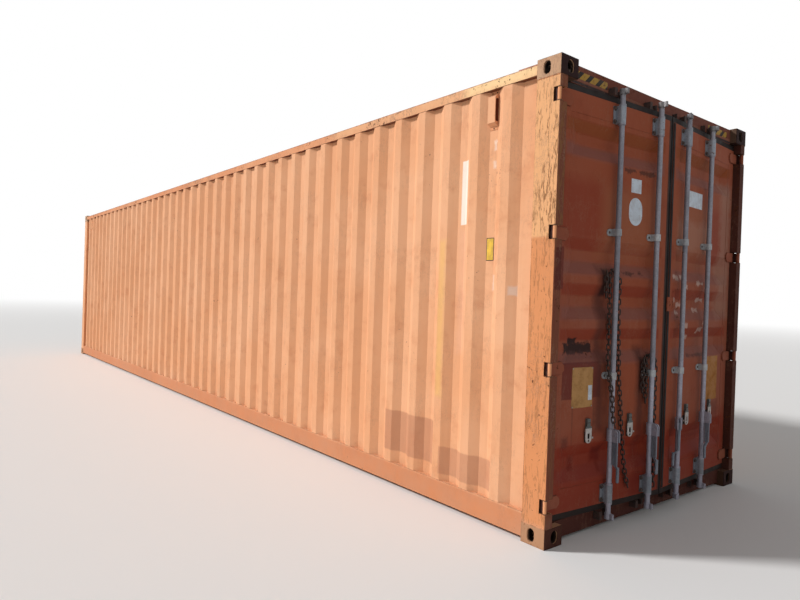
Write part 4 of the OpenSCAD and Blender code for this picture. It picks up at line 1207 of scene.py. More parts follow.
CHAIN_STEEL = Shared("rusty", "chain_steel", (0.010, 0.006, 0.005), (0.050, 0.021, 0.013), 55.0)


def dress(node: str, finish: bpy.types.Material) -> None:
    """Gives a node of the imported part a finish.

    Args:
        node: Name of the node.
        finish: Its new material.
    """
    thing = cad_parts[node]
    if not thing.material_slots:
        thing.data.materials.append(finish)
    for slot in thing.material_slots:
        slot.material = finish


def settle(shape: Shape, name: str, finish: bpy.types.Material, body: str, slot: str,
           angle: float = CRISP_ANGLE) -> None:
    """Makes a piece and lets it ride on a body.

    Args:
        shape: The piece's surface, where it stands at rest.
        name: Name of the piece.
        finish: Its material.
        body: Name of the body.
        slot: Not used.
        angle: Edges sharper than this many degrees stay crisp.
    """
    thing = shape.build(name, finish, angle)
    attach(thing, body)
    LOG.info("piece %s: %d faces, on %s", thing.name, len(thing.data.polygons), body)


@dataclass
class Shell:
    """The fixed box: walls, roof, posts, rails, castings, floor and underframe."""

    shop: PaintShop
    bead: float = 0.0032
    screw_pitch: tuple[float, float] = (0.150, 0.34)
    ring_r: float = 0.0055
    base_w: float = 0.066
    base_more: float = 0.044
    washer_gap: float = 0.0400

    def side_marks(self) -> list[Mark]:
        """Marks on the near side wall, placed by their Y and Z; X spans the whole wall.

        Returns:
            The fields.
        """
        white, plum = (0.86, 0.76, 0.66), (0.400, 0.168, 0.098)
        rows: list[Row] = [
            (white, -5.300, 2.172, 0.036, 0.218, 0.006, 0.0006, 0.92),
            (white, -5.565, 2.450, 0.010, 0.028, 0.016, 0.016, 0.50),
            (white, -5.560, 2.330, 0.012, 0.024, 0.016, 0.016, 0.45),
            (plum, -4.798, 0.420, 0.286, 0.154, 0.010, 0.004, 0.55),
            (plum, -5.395, 0.316, 0.245, 0.096, 0.010, 0.004, 0.50),
            ((0.80, 0.47, 0.15), -5.125, 1.305, 0.030, 0.545, 0.040, 0.008, 0.55),
            ((0.70, 0.62, 0.56), -5.760, 1.510, 0.026, 0.028, 0.016, 0.010, 0.45),
            ((0.80, 0.60, 0.50), -5.590, 1.560, 0.012, 0.050, 0.012, 0.008, 0.45),
            ((0.78, 0.42, 0.28), -5.300, 1.500, 0.040, 0.420, 0.060, 0.020, 0.35)]
        return [Mark(colour, (-1.2, y, z), (0.2, half_y, half_z), *edge)
                for colour, y, z, half_y, half_z, *edge in rows]

    def post_marks(self) -> list[Mark]:
        """Marks on the near rear post.

        Its side is tan above and has a later coat of orange below 1.83 m. Its end face is darkened as painted
        shade, with a maroon patch below the second hinge from the top.

        Returns:
            The fields.
        """
        return [
            Mark((0.780, 0.420, 0.195), (-1.219, -6.0, 2.31), (0.02, 0.2, 0.48), 0.020, 0.006, 0.80),
            Mark((0.650, 0.255, 0.098), (-1.219, -6.0, 0.98), (0.02, 0.2, 0.85), 0.020, 0.010, 0.80),
            # Painted shade on the post's end face.
            Mark((0.140, 0.038, 0.023), (-1.15, -6.097, 1.448), (0.2, 0.008, 1.5), 0.003, 0.0004, 0.94),
            Mark((0.085, 0.014, 0.011), (-1.165, -6.097, 1.645), (0.046, 0.008, 0.125), 0.006, 0.003, 0.80)]

    def casting_marks(self) -> list[Mark]:
        """Marks on the castings.

        The bottom ones are browner. At the door end the end faces are painted dark as shade, more so on top;
        the whole far corner and the undersides of the two top castings are painted in deep shade, and every
        casting is painted black inside as the shade in its hollow.

        Returns:
            The fields.
        """
        s = SIZES
        wide, deep, high = s.casting_w / 2, s.casting_l / 2, s.casting_h / 2
        inner = (wide - 0.010, deep - 0.010, high - 0.010)
        rows = [Mark((0.360, 0.150, 0.060), (0.0, 0.0, 0.059), (1.3, 6.2, 0.061), 0.004, 0.0, 0.60),
                # Painted shade: the door-end faces of the castings, the far corner and the top castings'
                # undersides.
                Mark(DEEP_SHADE, (0.0, -s.half_l, 2.400), (1.3, 0.0035, 0.6), 0.003, 0.0012, 1.0),
                Mark((0.048, 0.014, 0.010), (0.0, -s.half_l, 0.500), (1.3, 0.0035, 0.6), 0.003, 0.0012, 0.97),
                Mark(DEEP_SHADE, (s.half_w - 0.085, -s.half_l, 1.448), (0.085, 0.2, 1.5), 0.004, 0.001, 0.85)]
        rows += [Mark(DEEP_SHADE, (sx * 1.100, -6.0, 2.779), (0.052, 0.15, 0.004), 0.003, 0.0, 0.85)
                 for sx in SIGNS]
        # Painted shade inside each hollow casting.
        rows += [Mark(BLACK, (sx * (s.half_w - wide), sy * (s.half_l - deep), z), inner, 0.004, 0.0, 0.96)
                 for sx, sy in CORNERS for z in (high, s.height - high)]
        return rows

    def header_marks(self) -> list[Mark]:
        """A near-black band along the header's lower edge, and a browner stretch above it.

        Returns:
            The fields.
        """
        return [Mark((0.022, 0.020, 0.022), (0.0, -6.0, 2.7865), (1.2, 0.2, 0.0085), 0.004, 0.0006, 0.9),
                Mark((0.235, 0.100, 0.065), (0.0, -6.0, 2.806), (1.2, 0.2, 0.008), 0.006, 0.003, 0.6)]

    def rail_marks(self) -> list[Mark]:
        """Paler stretches at the door end of the top rails, painted shade under the lip, and five scrapes.

        Returns:
            The fields.
        """
        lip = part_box("top_side_rails")[0][2]
        scrapes = ((-5.76, 2.874, 0.050), (-5.60, 2.862, 0.030), (-5.44, 2.852, 0.060), (-5.15, 2.870, 0.030),
                   (-4.60, 2.862, 0.050))
        return [Mark((0.800, 0.475, 0.252), (0.0, -4.9, 2.87), (1.3, 1.25, 0.08), 0.30, 0.05, 0.7),
                Mark((0.900, 0.640, 0.330), (-1.2, -5.62, 2.87), (0.1, 0.31, 0.08), 0.10, 0.02, 0.75),
                # Painted shade on the underside of the rail's lower lip.
                Mark((0.090, 0.012, 0.005), (0.0, 0.0, lip), (1.3, 6.2, 0.0012), 0.001, 0.0, 0.9)
                ] + [Mark((0.110, 0.050, 0.018), (-1.2, y, z), (0.1, half, 0.002), 0.008, 0.012, 0.8)
                     for y, z, half in scrapes]

    def vent_marks(self) -> list[Mark]:
        """The slot of each side vent, painted dark as shade.

        Returns:
            The fields.
        """
        low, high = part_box("side_vents")
        x, z = high[0] - 0.021, (low[2] + high[2]) / 2
        # Painted shade in the slots.
        return [Mark((0.155, 0.024, 0.008), (sx * x, sy * SIZES.vent_y, z), (0.0125, 0.05, 0.074),
                     0.0015, 0.0, 0.95) for sx, sy in CORNERS]

    def dress_nodes(self) -> None:
        """Gives every fixed node its finish."""
        shop = self.shop
        plain = shop.paint(replace(SUNNY, name="wall_paint"))
        low_rail = [Mark((0.510, 0.160, 0.060), (0.0, 0.0, 0.09), (1.3, 6.2, 0.08), 0.01, 0.004, 0.65)]
        castings = shop.paint(CASTING, last=self.casting_marks())
        sill = replace(FRAME_DARK, name="sill_paint", base=(0.058, 0.014, 0.009),
                       faded=(0.072, 0.021, 0.015), dust=0.02)
        under = shop.paint(UNDER)
        finishes = {
            "side_wall_left": shop.paint(replace(SUNNY, outward=(-1.0, 0.0, 0.0)), self.side_marks()),
            "side_wall_right": plain,
            "front_wall": plain,
            "front_posts": plain,
            "front_header": plain,
            "front_sill": plain,
            "bottom_side_rails": shop.paint(replace(SUNNY, name="low_rail_paint"), (), low_rail),
            "side_vents": shop.paint(replace(SUNNY, name="vent_paint", dents=0.0), self.vent_marks()),
            "top_side_rails": shop.paint(RAIL, (), self.rail_marks()),
            "rear_post_left": shop.paint(POST, (), self.post_marks()),
            "rear_post_right": shop.paint(FAR_POST),
            "roof_panel": shop.paint(ROOF),
            "roof_corner_plates": shop.paint(replace(ROOF, name="roof_plate_paint", rust=0.9)),
            "corner_castings_top": castings,
            "corner_castings_bottom": castings,
            "door_header": shop.paint(replace(FRAME_DARK, name="header_paint"), self.header_marks()),
            "door_sill": shop.paint(sill),
            "cross_members": under,
            "gooseneck_tunnel": under,
            "floor_boards": shop.boards(),
            "hinge_pins": shop.rusty("hinge_pin_steel", (0.055, 0.022, 0.012), (0.16, 0.065, 0.035), 40.0),
            "cam_keepers": shop.rusty("keeper_steel", (0.017, 0.008, 0.006), (0.055, 0.022, 0.015), 30.0)}
        for node, finish in finishes.items():
            dress(node, finish)

    def beads(self) -> Shape:
        """Weld beads where the castings meet the posts and rails, and where the walls meet the frame.

        Returns:
            One shape with all the beads.
        """
        s = SIZES
        x, y0, y1 = s.half_w - 0.003, s.half_l - 0.004, s.half_l - s.casting_l
        end_y, wall_y = s.half_l - 0.003, y1 - 0.001
        rows = []
        for sx in SIGNS:
            for sy in SIGNS:
                for z in (s.casting_h, s.height - s.casting_h):
                    rows.append(weld_bead((sx * x, sy * y0, z), (sx * x, sy * (y1 + 0.005), z),
                                          self.bead, (0, 0, 1)))
                    rows.append(weld_bead((sx * (x - 0.004), sy * end_y, z),
                                          (sx * (s.half_w - 0.066), sy * end_y, z), self.bead, (0, 0, 1)))
                rows.append(weld_bead((sx * (x - 0.036), sy * wall_y, 0.178),
                                      (sx * (x - 0.036), sy * wall_y, 2.805), self.bead, (1, 0, 0)))
            rows.append(weld_bead((sx * (x - 0.002), -5.915, 0.175), (sx * (x - 0.002), 5.915, 0.175),
                                  self.bead * 0.9, (0, 0, 1)))
        return joined(rows)

    def vent_fixings(self) -> Shape:
        """Rivets on each side vent's base plate: two above the cover and one below.

        Returns:
            One shape with all the rivets.
        """
        low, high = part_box("side_vents")
        spots = ((-0.020, high[2] + 0.009), (0.020, high[2] + 0.009), (0.0, low[2] - 0.011))
        head, x, y = rivet_head(0.005, 0.004), SIZES.wall_x + 0.0023, SIZES.vent_y
        return joined([head.copies(facing([(sx * x, sy * y + dy, z) for dy, z in spots], (sx, 0, 0)))
                       for sx, sy in CORNERS])

    def hinge_washers(self) -> Shape:
        """Washers on the hinge pins, above and below every blade.

        Returns:
            One shape with all the washers.
        """
        washer = lathe([(0.0152, -0.0020), (0.0152, 0.0020)], 20)
        places = [(sx * -SIZES.pin[0], SIZES.pin[1], z + sz * self.washer_gap)
                  for sx in SIGNS for z in SIZES.hinge_z for sz in SIGNS]
        return washer.copies(shifts(places))

    def vent_bases(self) -> Shape:
        """Base plates of the side vents: thin plates on the wall, a little taller and wider than the covers.

        Returns:
            One shape with the four plates.
        """
        low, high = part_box("side_vents")
        one = plate((0.0, 0.0, 0.0), self.base_w, high[2] - low[2] + self.base_more, 0.003, 0.0022)
        rows = []
        for sx, sy in CORNERS:
            spot = shifts([(sx * SIZES.wall_x, sy * SIZES.vent_y, (low[2] + high[2]) / 2)])[0]
            spot[:3, :3] = [[0, -sx, 0], [1, 0, 0], [0, 0, 1]]
            rows.append(one.moved(spot).outward())
        return joined(rows)

    def floor_screws(self) -> Shape:
        """Countersunk screws in a grid over the floor, set a hair above the boards.

        Returns:
            One shape with all the screws.
        """
        pitch_x, pitch_y = self.screw_pitch
        gx, gy = np.meshgrid(np.arange(-1.05, 1.06, pitch_x), np.arange(-5.75, 5.9, pitch_y))
        places = np.stack([gx.ravel(), gy.ravel(), np.full(gx.size, SIZES.boards_z)], axis=-1)
        head = lathe([(0.0065, 0.0), (0.0062, 0.0005), (0.003, 0.0007)], 8)
        return head.copies(shifts(places))

    def lashing_rings(self) -> Shape:
        """Lashing rings along the floor and under the roof: half hoops of round bar.

        A hoop at angle t stands at (reach sin t) from the wall and (half width cos t) along it.

        Returns:
            One shape with all the rings.
        """
        t = np.linspace(0, math.pi, 13)
        reach, half = 0.034, 0.032
        path = np.stack([reach * np.sin(t), half * np.cos(t), np.zeros_like(t)], axis=-1)
        ring = tube(path, self.ring_r, 7, (0, 0, 1))
        places = [(-1.1715, -SIZES.vent_y + SIZES.wave_pitch * k, z)
                  for k in range(3, 40, 4) for z in (0.235, 2.745)]
        near = ring.copies(shifts(places))
        return joined([near, near.moved(np.diag([-1.0, 1.0, 1.0, 1.0]))])

    def side_label(self) -> None:
        """Bare yellow label with a black border on the near wall's second recessed stretch."""
        shop = self.shop
        black = shop.sticker("label_border", (0.030, 0.028, 0.026), 0.5)
        yellow = shop.sticker("label_yellow", (0.82, 0.52, 0.06), 0.35)
        for name, width, height, lift, finish in (("label_back", 0.066, 0.150, 0.0, black),
                                                  ("label_face", 0.056, 0.140, 0.0004, yellow)):
            spot = shifts([(-SIZES.wall_x - lift, -5.5454, 1.778)])[0]
            spot[:3, :3] = [[0, 1, 0], [-1, 0, 0], [0, 0, 1]]
            shape = plate((0.0, 0.0, 0.0), width, height, 0.004, 0.0006).moved(spot).outward()
            settle(shape, name, finish, "container", "body_paint")

    def make(self) -> None:
        """Builds and dresses everything fixed."""
        self.dress_nodes()
        shop = self.shop
        painted = shop.paint(replace(POST, name="bead_paint", rust=0.6, dents=0.0, scrapes=0.0),
                             [Mark(SHADED, (0.0, -6.097, 1.448), (1.3, 0.008, 1.5), 0.003, 0.0, 0.8)])
        brown = shop.rusty("rivet_steel", (0.060, 0.026, 0.012), (0.150, 0.065, 0.030), 60.0)
        steel = shop.rusty("screw_steel", (0.07, 0.045, 0.035), (0.20, 0.14, 0.10), 60.0)
        settle(self.beads(), "weld_beads", painted, "container", "body_paint", ROUND_ANGLE)
        for shape, name, finish, slot in (
                (self.vent_fixings(), "vent_rivets", brown, "body_paint"),
                (self.vent_bases(), "vent_bases", painted, "body_paint"),
                (self.hinge_washers(), "hinge_washers", brown, "rusty_steel"),
                (self.floor_screws(), "floor_screws", steel, "rusty_steel"),
                (self.lashing_rings(), "lashing_rings", painted, "body_paint")):
            settle(shape, name, finish, "container", slot)
        band = shop.hazard()
        for side in Side:
            strip = plate((side.value * 0.835, SIZES.header_y, 2.836), 0.31, 0.046, 0.004, 0.0006)
            settle(strip, f"hazard_band_{side.word}", band, "container", "body_paint")
        self.side_label()


@dataclass
class Leaf:
    """One door leaf with its rubber, blades, bolts and bare plates.

    Places are those of the closed left leaf. catch_slot is how far a catch's slot lies from its rod, and
    its height. narrow_x and tall_bolt are how far the fixings of narrow and tall brackets lie from the
    middle of the bracket.
    """

    shop: PaintShop
    side: Side
    bolt: Shape = field(default_factory=lambda: hex_head(0.0165, 0.009))
    catch_slot: tuple[float, float] = (0.178, 0.610)
    narrow_x: float = 0.0425
    tall_bolt: tuple[float, float] = (0.035, 0.042)

    @property
    def body(self) -> str:
        """Name of the body that carries the leaf."""
        return f"door_{self.side.word}"

    def mark(self, colour: Colour, x: float, z: float, half_x: float, half_z: float, soft: float,
             ragged: float, strength: float) -> Mark:
        """A field on the leaf by its place on the closed left leaf.

        Args:
            colour: Colour of the field.
            x: Middle along X on the closed left leaf.
            z: Middle height.
            half_x: Half width.
            half_z: Half height.
            soft: Width of the edge.
            ragged: How far the edge wanders.
            strength: Share of the colour.

        Returns:
            The field, where the leaf stands.
        """
        place = seen_x(x) * (-1 if self.side is Side.RIGHT else 1)
        return Mark(colour, (place, -6.08, z), (half_x, 0.4, half_z), soft, ragged, strength)

    def stains_and_painted_light(self) -> tuple[list[Mark], list[Mark]]:
        """Stains, patches, painted shade and painted reflection of the leaf: those in the paint and those on
        it.

        Returns:
            Two lists of fields.
        """
        plum, red, dark = (0.222, 0.080, 0.062), (0.235, 0.038, 0.017), (0.050, 0.020, 0.015)
        maroon, near_black, brown = (0.120, 0.022, 0.018), (0.030, 0.012, 0.010), (0.150, 0.050, 0.030)
        recesses = (0.46, 1.18, 1.46, 1.74, 2.46)
        # Deep red on the downward-facing slope above each recess: less faded paint, darkened further as
        # painted shade.
        under: list[Row] = [(red, -0.58, z + 0.0725, 0.50, 0.036, 0.018, 0.003, 0.85) for z in recesses]
        # Painted reflection: plum on the upward-facing slope below each recess stands for the sky mirrored in
        # it.
        under += [(plum, -0.58, z - 0.0750, 0.50, 0.040, 0.030, 0.006, 0.80) for z in recesses]
        # Its first field is the same deep red with painted shade, above the top recess.
        under += [((0.235, 0.062, 0.018), -0.58, 2.5325, 0.50, 0.036, 0.018, 0.003, 0.80),
                  (red, -0.90, 2.02, 0.22, 0.19, 0.10, 0.02, 0.75),
                  ((0.305, 0.104, 0.051), -0.42, 1.98, 0.30, 0.22, 0.12, 0.02, 0.6)]
        over: list[Row]
        if self.side is Side.LEFT:
            over = [
                (maroon, -0.865, 0.968, 0.182, 0.113, 0.006, 0.002, 0.80),
                (near_black, -0.895, 1.165, 0.155, 0.034, 0.012, 0.026, 1.00),
                (near_black, -0.940, 1.212, 0.045, 0.018, 0.010, 0.014, 1.00),
                ((0.130, 0.055, 0.050), -0.880, 1.110, 0.150, 0.024, 0.04, 0.026, 0.55),
                (maroon, -1.110, 1.657, 0.040, 0.127, 0.006, 0.003, 0.75),
                (near_black, -0.672, 0.487, 0.046, 0.046, 0.036, 0.014, 0.95),
                (near_black, -0.655, 0.420, 0.016, 0.050, 0.020, 0.008, 0.60),
                (near_black, -0.905, 0.450, 0.026, 0.042, 0.026, 0.010, 0.90),
                ((0.090, 0.035, 0.025), -1.005, 0.590, 0.030, 0.036, 0.03, 0.012, 0.7),
                (brown, -0.940, 0.690, 0.006, 0.120, 0.01, 0.002, 0.6),
                (brown, -0.740, 0.720, 0.006, 0.110, 0.01, 0.002, 0.6),
                (dark, -0.340, 2.330, 0.170, 0.010, 0.01, 0.030, 0.75),
                (dark, -0.400, 1.655, 0.120, 0.006, 0.01, 0.034, 0.75),
                ((0.10, 0.05, 0.045), -0.480, 1.120, 0.050, 0.004, 0.01, 0.016, 0.7),
                # Painted shadows on the door beside rod 1 and, lower down, beside rod 2.
                ((0.075, 0.024, 0.018), -0.690, 1.150, 0.042, 0.520, 0.06, 0.020, 0.72),
                ((0.065, 0.020, 0.015), -0.262, 0.700, 0.042, 0.460, 0.06, 0.016, 0.75),
                (near_black, -0.664, 1.585, 0.030, 0.085, 0.020, 0.004, 0.85),
                (near_black, -0.240, 0.985, 0.036, 0.110, 0.020, 0.006, 0.70),
                (dark, -0.090, 0.300, 0.060, 0.120, 0.050, 0.020, 0.60),
                (dark, -0.290, 0.240, 0.070, 0.070, 0.040, 0.020, 0.60)]
        else:
            spots = ((-0.150, 1.655, 0.050), (-0.290, 1.660, 0.050), (-0.560, 1.625, 0.060),
                     (-0.330, 1.590, 0.020), (-0.700, 1.590, 0.050), (-0.640, 1.500, 0.060),
                     (-0.160, 1.490, 0.040), (-0.300, 1.455, 0.060), (-0.190, 1.400, 0.050),
                     (-0.560, 1.420, 0.040), (-0.330, 1.300, 0.040), (-0.700, 1.330, 0.050),
                     (-0.600, 1.270, 0.040), (-0.420, 1.220, 0.030))
            over = [((0.56, 0.42, 0.36), x, z, half, 0.013, 0.012, 0.024, 0.62) for x, z, half in spots]
            over += [((0.42, 0.24, 0.18), -0.420, 1.960, 0.260, 0.110, 0.08, 0.050, 0.30),
                     ((0.350, 0.205, 0.150), -1.020, 1.900, 0.100, 0.520, 0.10, 0.050, 0.50),
                     (dark, -0.560, 1.085, 0.180, 0.010, 0.015, 0.022, 0.60),
                     (dark, -0.600, 0.470, 0.200, 0.020, 0.03, 0.030, 0.45),
                     ((0.100, 0.030, 0.020), -0.930, 0.640, 0.060, 0.060, 0.05, 0.020, 0.50)]
        # The first field is painted shade along the leaf's seam edge.
        over += [((0.030, 0.016, 0.013), -0.028, 1.45, 0.007, 1.30, 0.006, 0.0006, 0.90),
                 ((0.205, 0.014, 0.005), -0.58, 0.34, 0.60, 0.24, 0.20, 0.030, 0.67)]
        # Painted shade: black on the panel behind each catch's slot.
        over += [(BLACK, x - self.catch_slot[0], self.catch_slot[1], 0.032, 0.034, 0.004, 0.0, 0.95)
                 for x in SIZES.rods]
        # Painted shade: black on the panel at the ends of the narrow brackets.
        over += [(BLACK, x + sx * self.narrow_x + 0.004, z, 0.012, 0.010, 0.004, 0.0, 0.95)
                 for x in SIZES.rods for sx in SIGNS for z in SIZES.narrow_z]
        return [self.mark(*row) for row in under], [self.mark(*row) for row in over]

    def dress_nodes(self) -> None:
        """Gives the leaf's own nodes their finishes."""
        shop, word = self.shop, self.side.word
        under, over = self.stains_and_painted_light()
        look = replace(DOOR, name=f"door_paint_{word}", dust=0.025 if self.side is Side.LEFT else 0.12,
                       outward=(0.0, -1.0, 0.0))
        finish = shop.paint(look, over, under)
        for node in ("door_frame", "door_panel"):
            dress(f"{node}_{word}", finish)
        blade = replace(DOOR, name=f"blade_paint_{word}", base=(0.250, 0.066, 0.032), wear=0.6, rust=0.5,
                        dents=0.0)
        slot, lit = (self.side.value * 1.205, -6.040, 1.448), (self.side.value * 1.216, -6.093, 1.448)
        # Painted shade in the dark hinge slot by the post.
        marks = [Mark(DEEP_SHADE, slot, (0.030, 0.026, 1.5), 0.003, 0.0, 0.95)]
        # Painted sunlight: on the left leaf the blades' outer edge takes the sunlit side's paint colour.
        if self.side is Side.LEFT:
            marks.append(Mark((0.760, 0.340, 0.165), lit, (0.010, 0.027, 1.5), 0.003, 0.001, 0.95))
        dress(f"hinge_blades_{word}", shop.paint(blade, marks))
        dress(f"door_gasket_{word}", RUBBER.get(shop))

    def hang(self, shape: Shape, name: str, finish: bpy.types.Material, slot: str,
             angle: float = CRISP_ANGLE) -> None:
        """Settles a piece that is given on the closed left leaf, where this leaf stands.

        Args:
            shape: The piece's surface on the closed left leaf.
            name: Name of the piece.
            finish: Its material.
            slot: Name of the material slot.
            angle: Edges sharper than this many degrees stay crisp.
        """
        settle(shape.moved(hang_matrix(self.side)), name, finish, self.body, slot, angle)

    def bracket_bolts(self) -> Shape:
        """Bolts at the corners of the tall brackets, and rivets in both ends of the narrow ones.

        Returns:
            One shape with all the heads.
        """
        wide, tall = self.tall_bolt
        bolts = [(x + sx * wide, SIZES.face_y - 0.006, z + sz * tall)
                 for x in SIZES.rods for z in SIZES.tall_z for sx, sz in CORNERS]
        rivets = [(x + sx * self.narrow_x, SIZES.panel_y - 0.0065, z)
                  for x in SIZES.rods for sx in SIGNS for z in SIZES.narrow_z]
        heads = rivet_head(0.0085, 0.0045).copies(facing(rivets, (0, -1, 0)))
        return joined([self.bolt.copies(facing(bolts, (0, -1, 0))), heads])

    def blade_beads(self) -> Shape:
        """Weld beads round the hinge blades: a tube along the blade's octagon, just proud of the leaf.

        The radius at distance s is 2.6 mm times (1 + 0.2 sin(2 pi s / 10 mm)).

        Returns:
            One shape with a closed bead for each blade.
        """
        x0, x1, half, cut = -1.139, -1.0450, 0.0375, 0.022
        corners = np.array([[x0, -half], [x1 - cut, -half], [x1, -half + cut], [x1, half - cut],
                            [x1 - cut, half], [x0, half]])
        ends = np.concatenate([corners[1:], corners[-1:]])
        t = np.linspace(0, 1, 20)[:, None]
        line = (corners[:, None] * (1 - t) + ends[:, None] * t)[:-1].reshape(-1, 2)
        path = np.stack([line[:, 0], np.full(len(line), SIZES.face_y - 0.0005), line[:, 1]], axis=-1)
        path = path[np.concatenate([[True], np.linalg.norm(np.diff(path, axis=0), axis=1) > 1e-6])]
        s = np.concatenate([[0.0], np.cumsum(np.linalg.norm(np.diff(path, axis=0), axis=1))])
        bead = tube(path, 0.0026 * (1 + 0.2 * np.sin(2 * math.pi * s / 0.010)), 6, (0, 1, 0))
        return bead.copies(shifts([(0.0, 0.0, z) for z in SIZES.hinge_z]))

    def gasket_fins(self) -> Shape:
        """Raised lips along the rubber: two above the leaf and two below.

        Each lip is a thin tube along a straight line on the rubber's outer face.

        Returns:
            One shape with all the lips.
        """
        x0, x1, y = -1.144, -0.012, SIZES.face_y + 0.0090
        return joined([weld_bead((x0, y, z), (x1, y, z), 0.0022, (0, 0, 1))
                       for z in (2.739, 2.762, 0.161, 0.138)])

    def catch_fixings(self) -> Shape:
        """Rivets on the handle catches' blocks.

        Returns:
            One shape with all the rivets.
        """
        places = [(x - 0.190 + dx, SIZES.panel_y - 0.018, 0.702)
                  for x in SIZES.rods for dx in (-0.008, 0.008)]
        return rivet_head(0.0045, 0.003).copies(facing(places, (0, -1, 0)))

    def plates(self) -> None:
        """Bare plates and labels of this leaf, without any lettering."""
        shop = self.shop
        white = shop.sticker(f"label_white_{self.side.word}", (0.575, 0.640, 0.720), 0.25)
        y, front = SIZES.panel_y, SIZES.panel_y - 0.0016
        rows: list[Row]
        if self.side is Side.LEFT:
            brass = shop.sticker("data_plate_brass", (0.43, 0.225, 0.078), 0.95)
            rows = [("data_plate", (-0.855, y, 0.924), 0.196, 0.252, 0.006, 0.0016, brass),
                    ("label_square", (-0.382, y, 2.234), 0.108, 0.092, 0.003, 0.0006, white),
                    ("label_oval", (-0.382, y, 2.064), 0.142, 0.184, 0.0705, 0.0006, white),
                    ("data_plate_patch", (-0.782, front, 0.888), 0.036, 0.092, 0.002, 0.0004, white)]
        else:
            amber = shop.sticker("notice_plate_yellow", (0.34, 0.125, 0.010), 0.70)
            rows = [("label_wide", (-0.424, y, 2.240), 0.262, 0.117, 0.003, 0.0006, white),
                    ("notice_plate", (-0.843, y, 0.890), 0.246, 0.345, 0.004, 0.0012, amber)]
        for name, *form, finish in rows:
            self.hang(plate(*form), name, finish, "door_paint")
        if self.side is Side.LEFT:
            places = [(-0.855 + sx * 0.091, front, 0.924 + sz * 0.119) for sx, sz in CORNERS]
            heads = rivet_head(0.004, 0.0025).copies(facing(places, (0, -1, 0)))
            self.hang(heads, "data_plate_rivets", ZINC.get(shop), "galvanised")

    def make(self) -> None:
        """Builds and dresses the leaf."""
        self.dress_nodes()
        shop, word = self.shop, self.side.word
        dark = shop.rusty(f"bolt_steel_{word}", (0.030, 0.022, 0.020), (0.085, 0.055, 0.045), 60.0)
        bead = shop.paint(replace(DOOR, name=f"bead_paint_{word}", base=(0.035, 0.012, 0.009), rust=1.0,
                                  wear=1.0, dents=0.0))
        self.hang(self.bracket_bolts(), f"bracket_bolts_{word}", dark, "rusty_steel")
        self.hang(self.blade_beads(), f"blade_beads_{word}", bead, "door_paint", ROUND_ANGLE)
        self.hang(self.gasket_fins(), f"gasket_lips_{word}", RUBBER.get(shop), "gasket")
        if self.side is Side.RIGHT:
            lip = plate((-0.0350, SIZES.face_y - 0.0004, 1.450), 0.026, 2.560, 0.004, 0.0030)
            self.hang(lip, "seam_lip", RUBBER.get(shop), "gasket")
        self.hang(self.catch_fixings(), f"catch_rivets_{word}", dark, "rusty_steel")
        self.plates()


@dataclass
class LockGear:
    """Lock rods, brackets, handles and catches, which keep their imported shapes."""

    shop: PaintShop

    def make(self) -> None:
        """Dresses the gear."""
        for number in (1, 2, 3, 4):
            dress(f"lock_rod_{number}", ZINC.get(self.shop))
            dress(f"handle_{number}", HANDLE_ZINC.get(self.shop))
        for side in Side:
            dress(f"rod_brackets_{side.word}", BRACKET_ZINC.get(self.shop))
            dress(f"handle_catches_{side.word}", CATCH_ZINC.get(self.shop))
        dress("overlap_tab", self.shop.paint(replace(DOOR, name="tab_paint", rust=0.8, wear=0.9, dents=0.0)))
        LOG.info("lock gear dressed")


def smoothed(points: Sequence[Vec], steps: int = 60) -> Array:
    """Draws a Catmull-Rom curve through points.

    Between two points p1 and p2, with neighbours p0 and p3, the curve at t is half of
    2 p1 + (p2 - p0) t + (2 p0 - 5 p1 + 4 p2 - p3) t^2 + (3 p1 - p0 - 3 p2 + p3) t^3.

    Args:
        points: The points, in order.
        steps: Samples between two points.

    Returns:
        Array (n, 3).
    """
    given = np.array(points)
    p = np.concatenate([2 * given[:1] - given[1:2], given, 2 * given[-1:] - given[-2:-1]])
    p0, p1, p2, p3 = (p[k:len(p) - 3 + k, None] for k in range(4))
    t = np.linspace(0, 1, steps, endpoint=False)[None, :, None]
    curve = (2 * p1 + (p2 - p0) * t + (2 * p0 - 5 * p1 + 4 * p2 - p3) * t ** 2
             + (3 * p1 - p0 - 3 * p2 + p3) * t ** 3) / 2
    return np.concatenate([curve.reshape(-1, 3), given[-1:]])


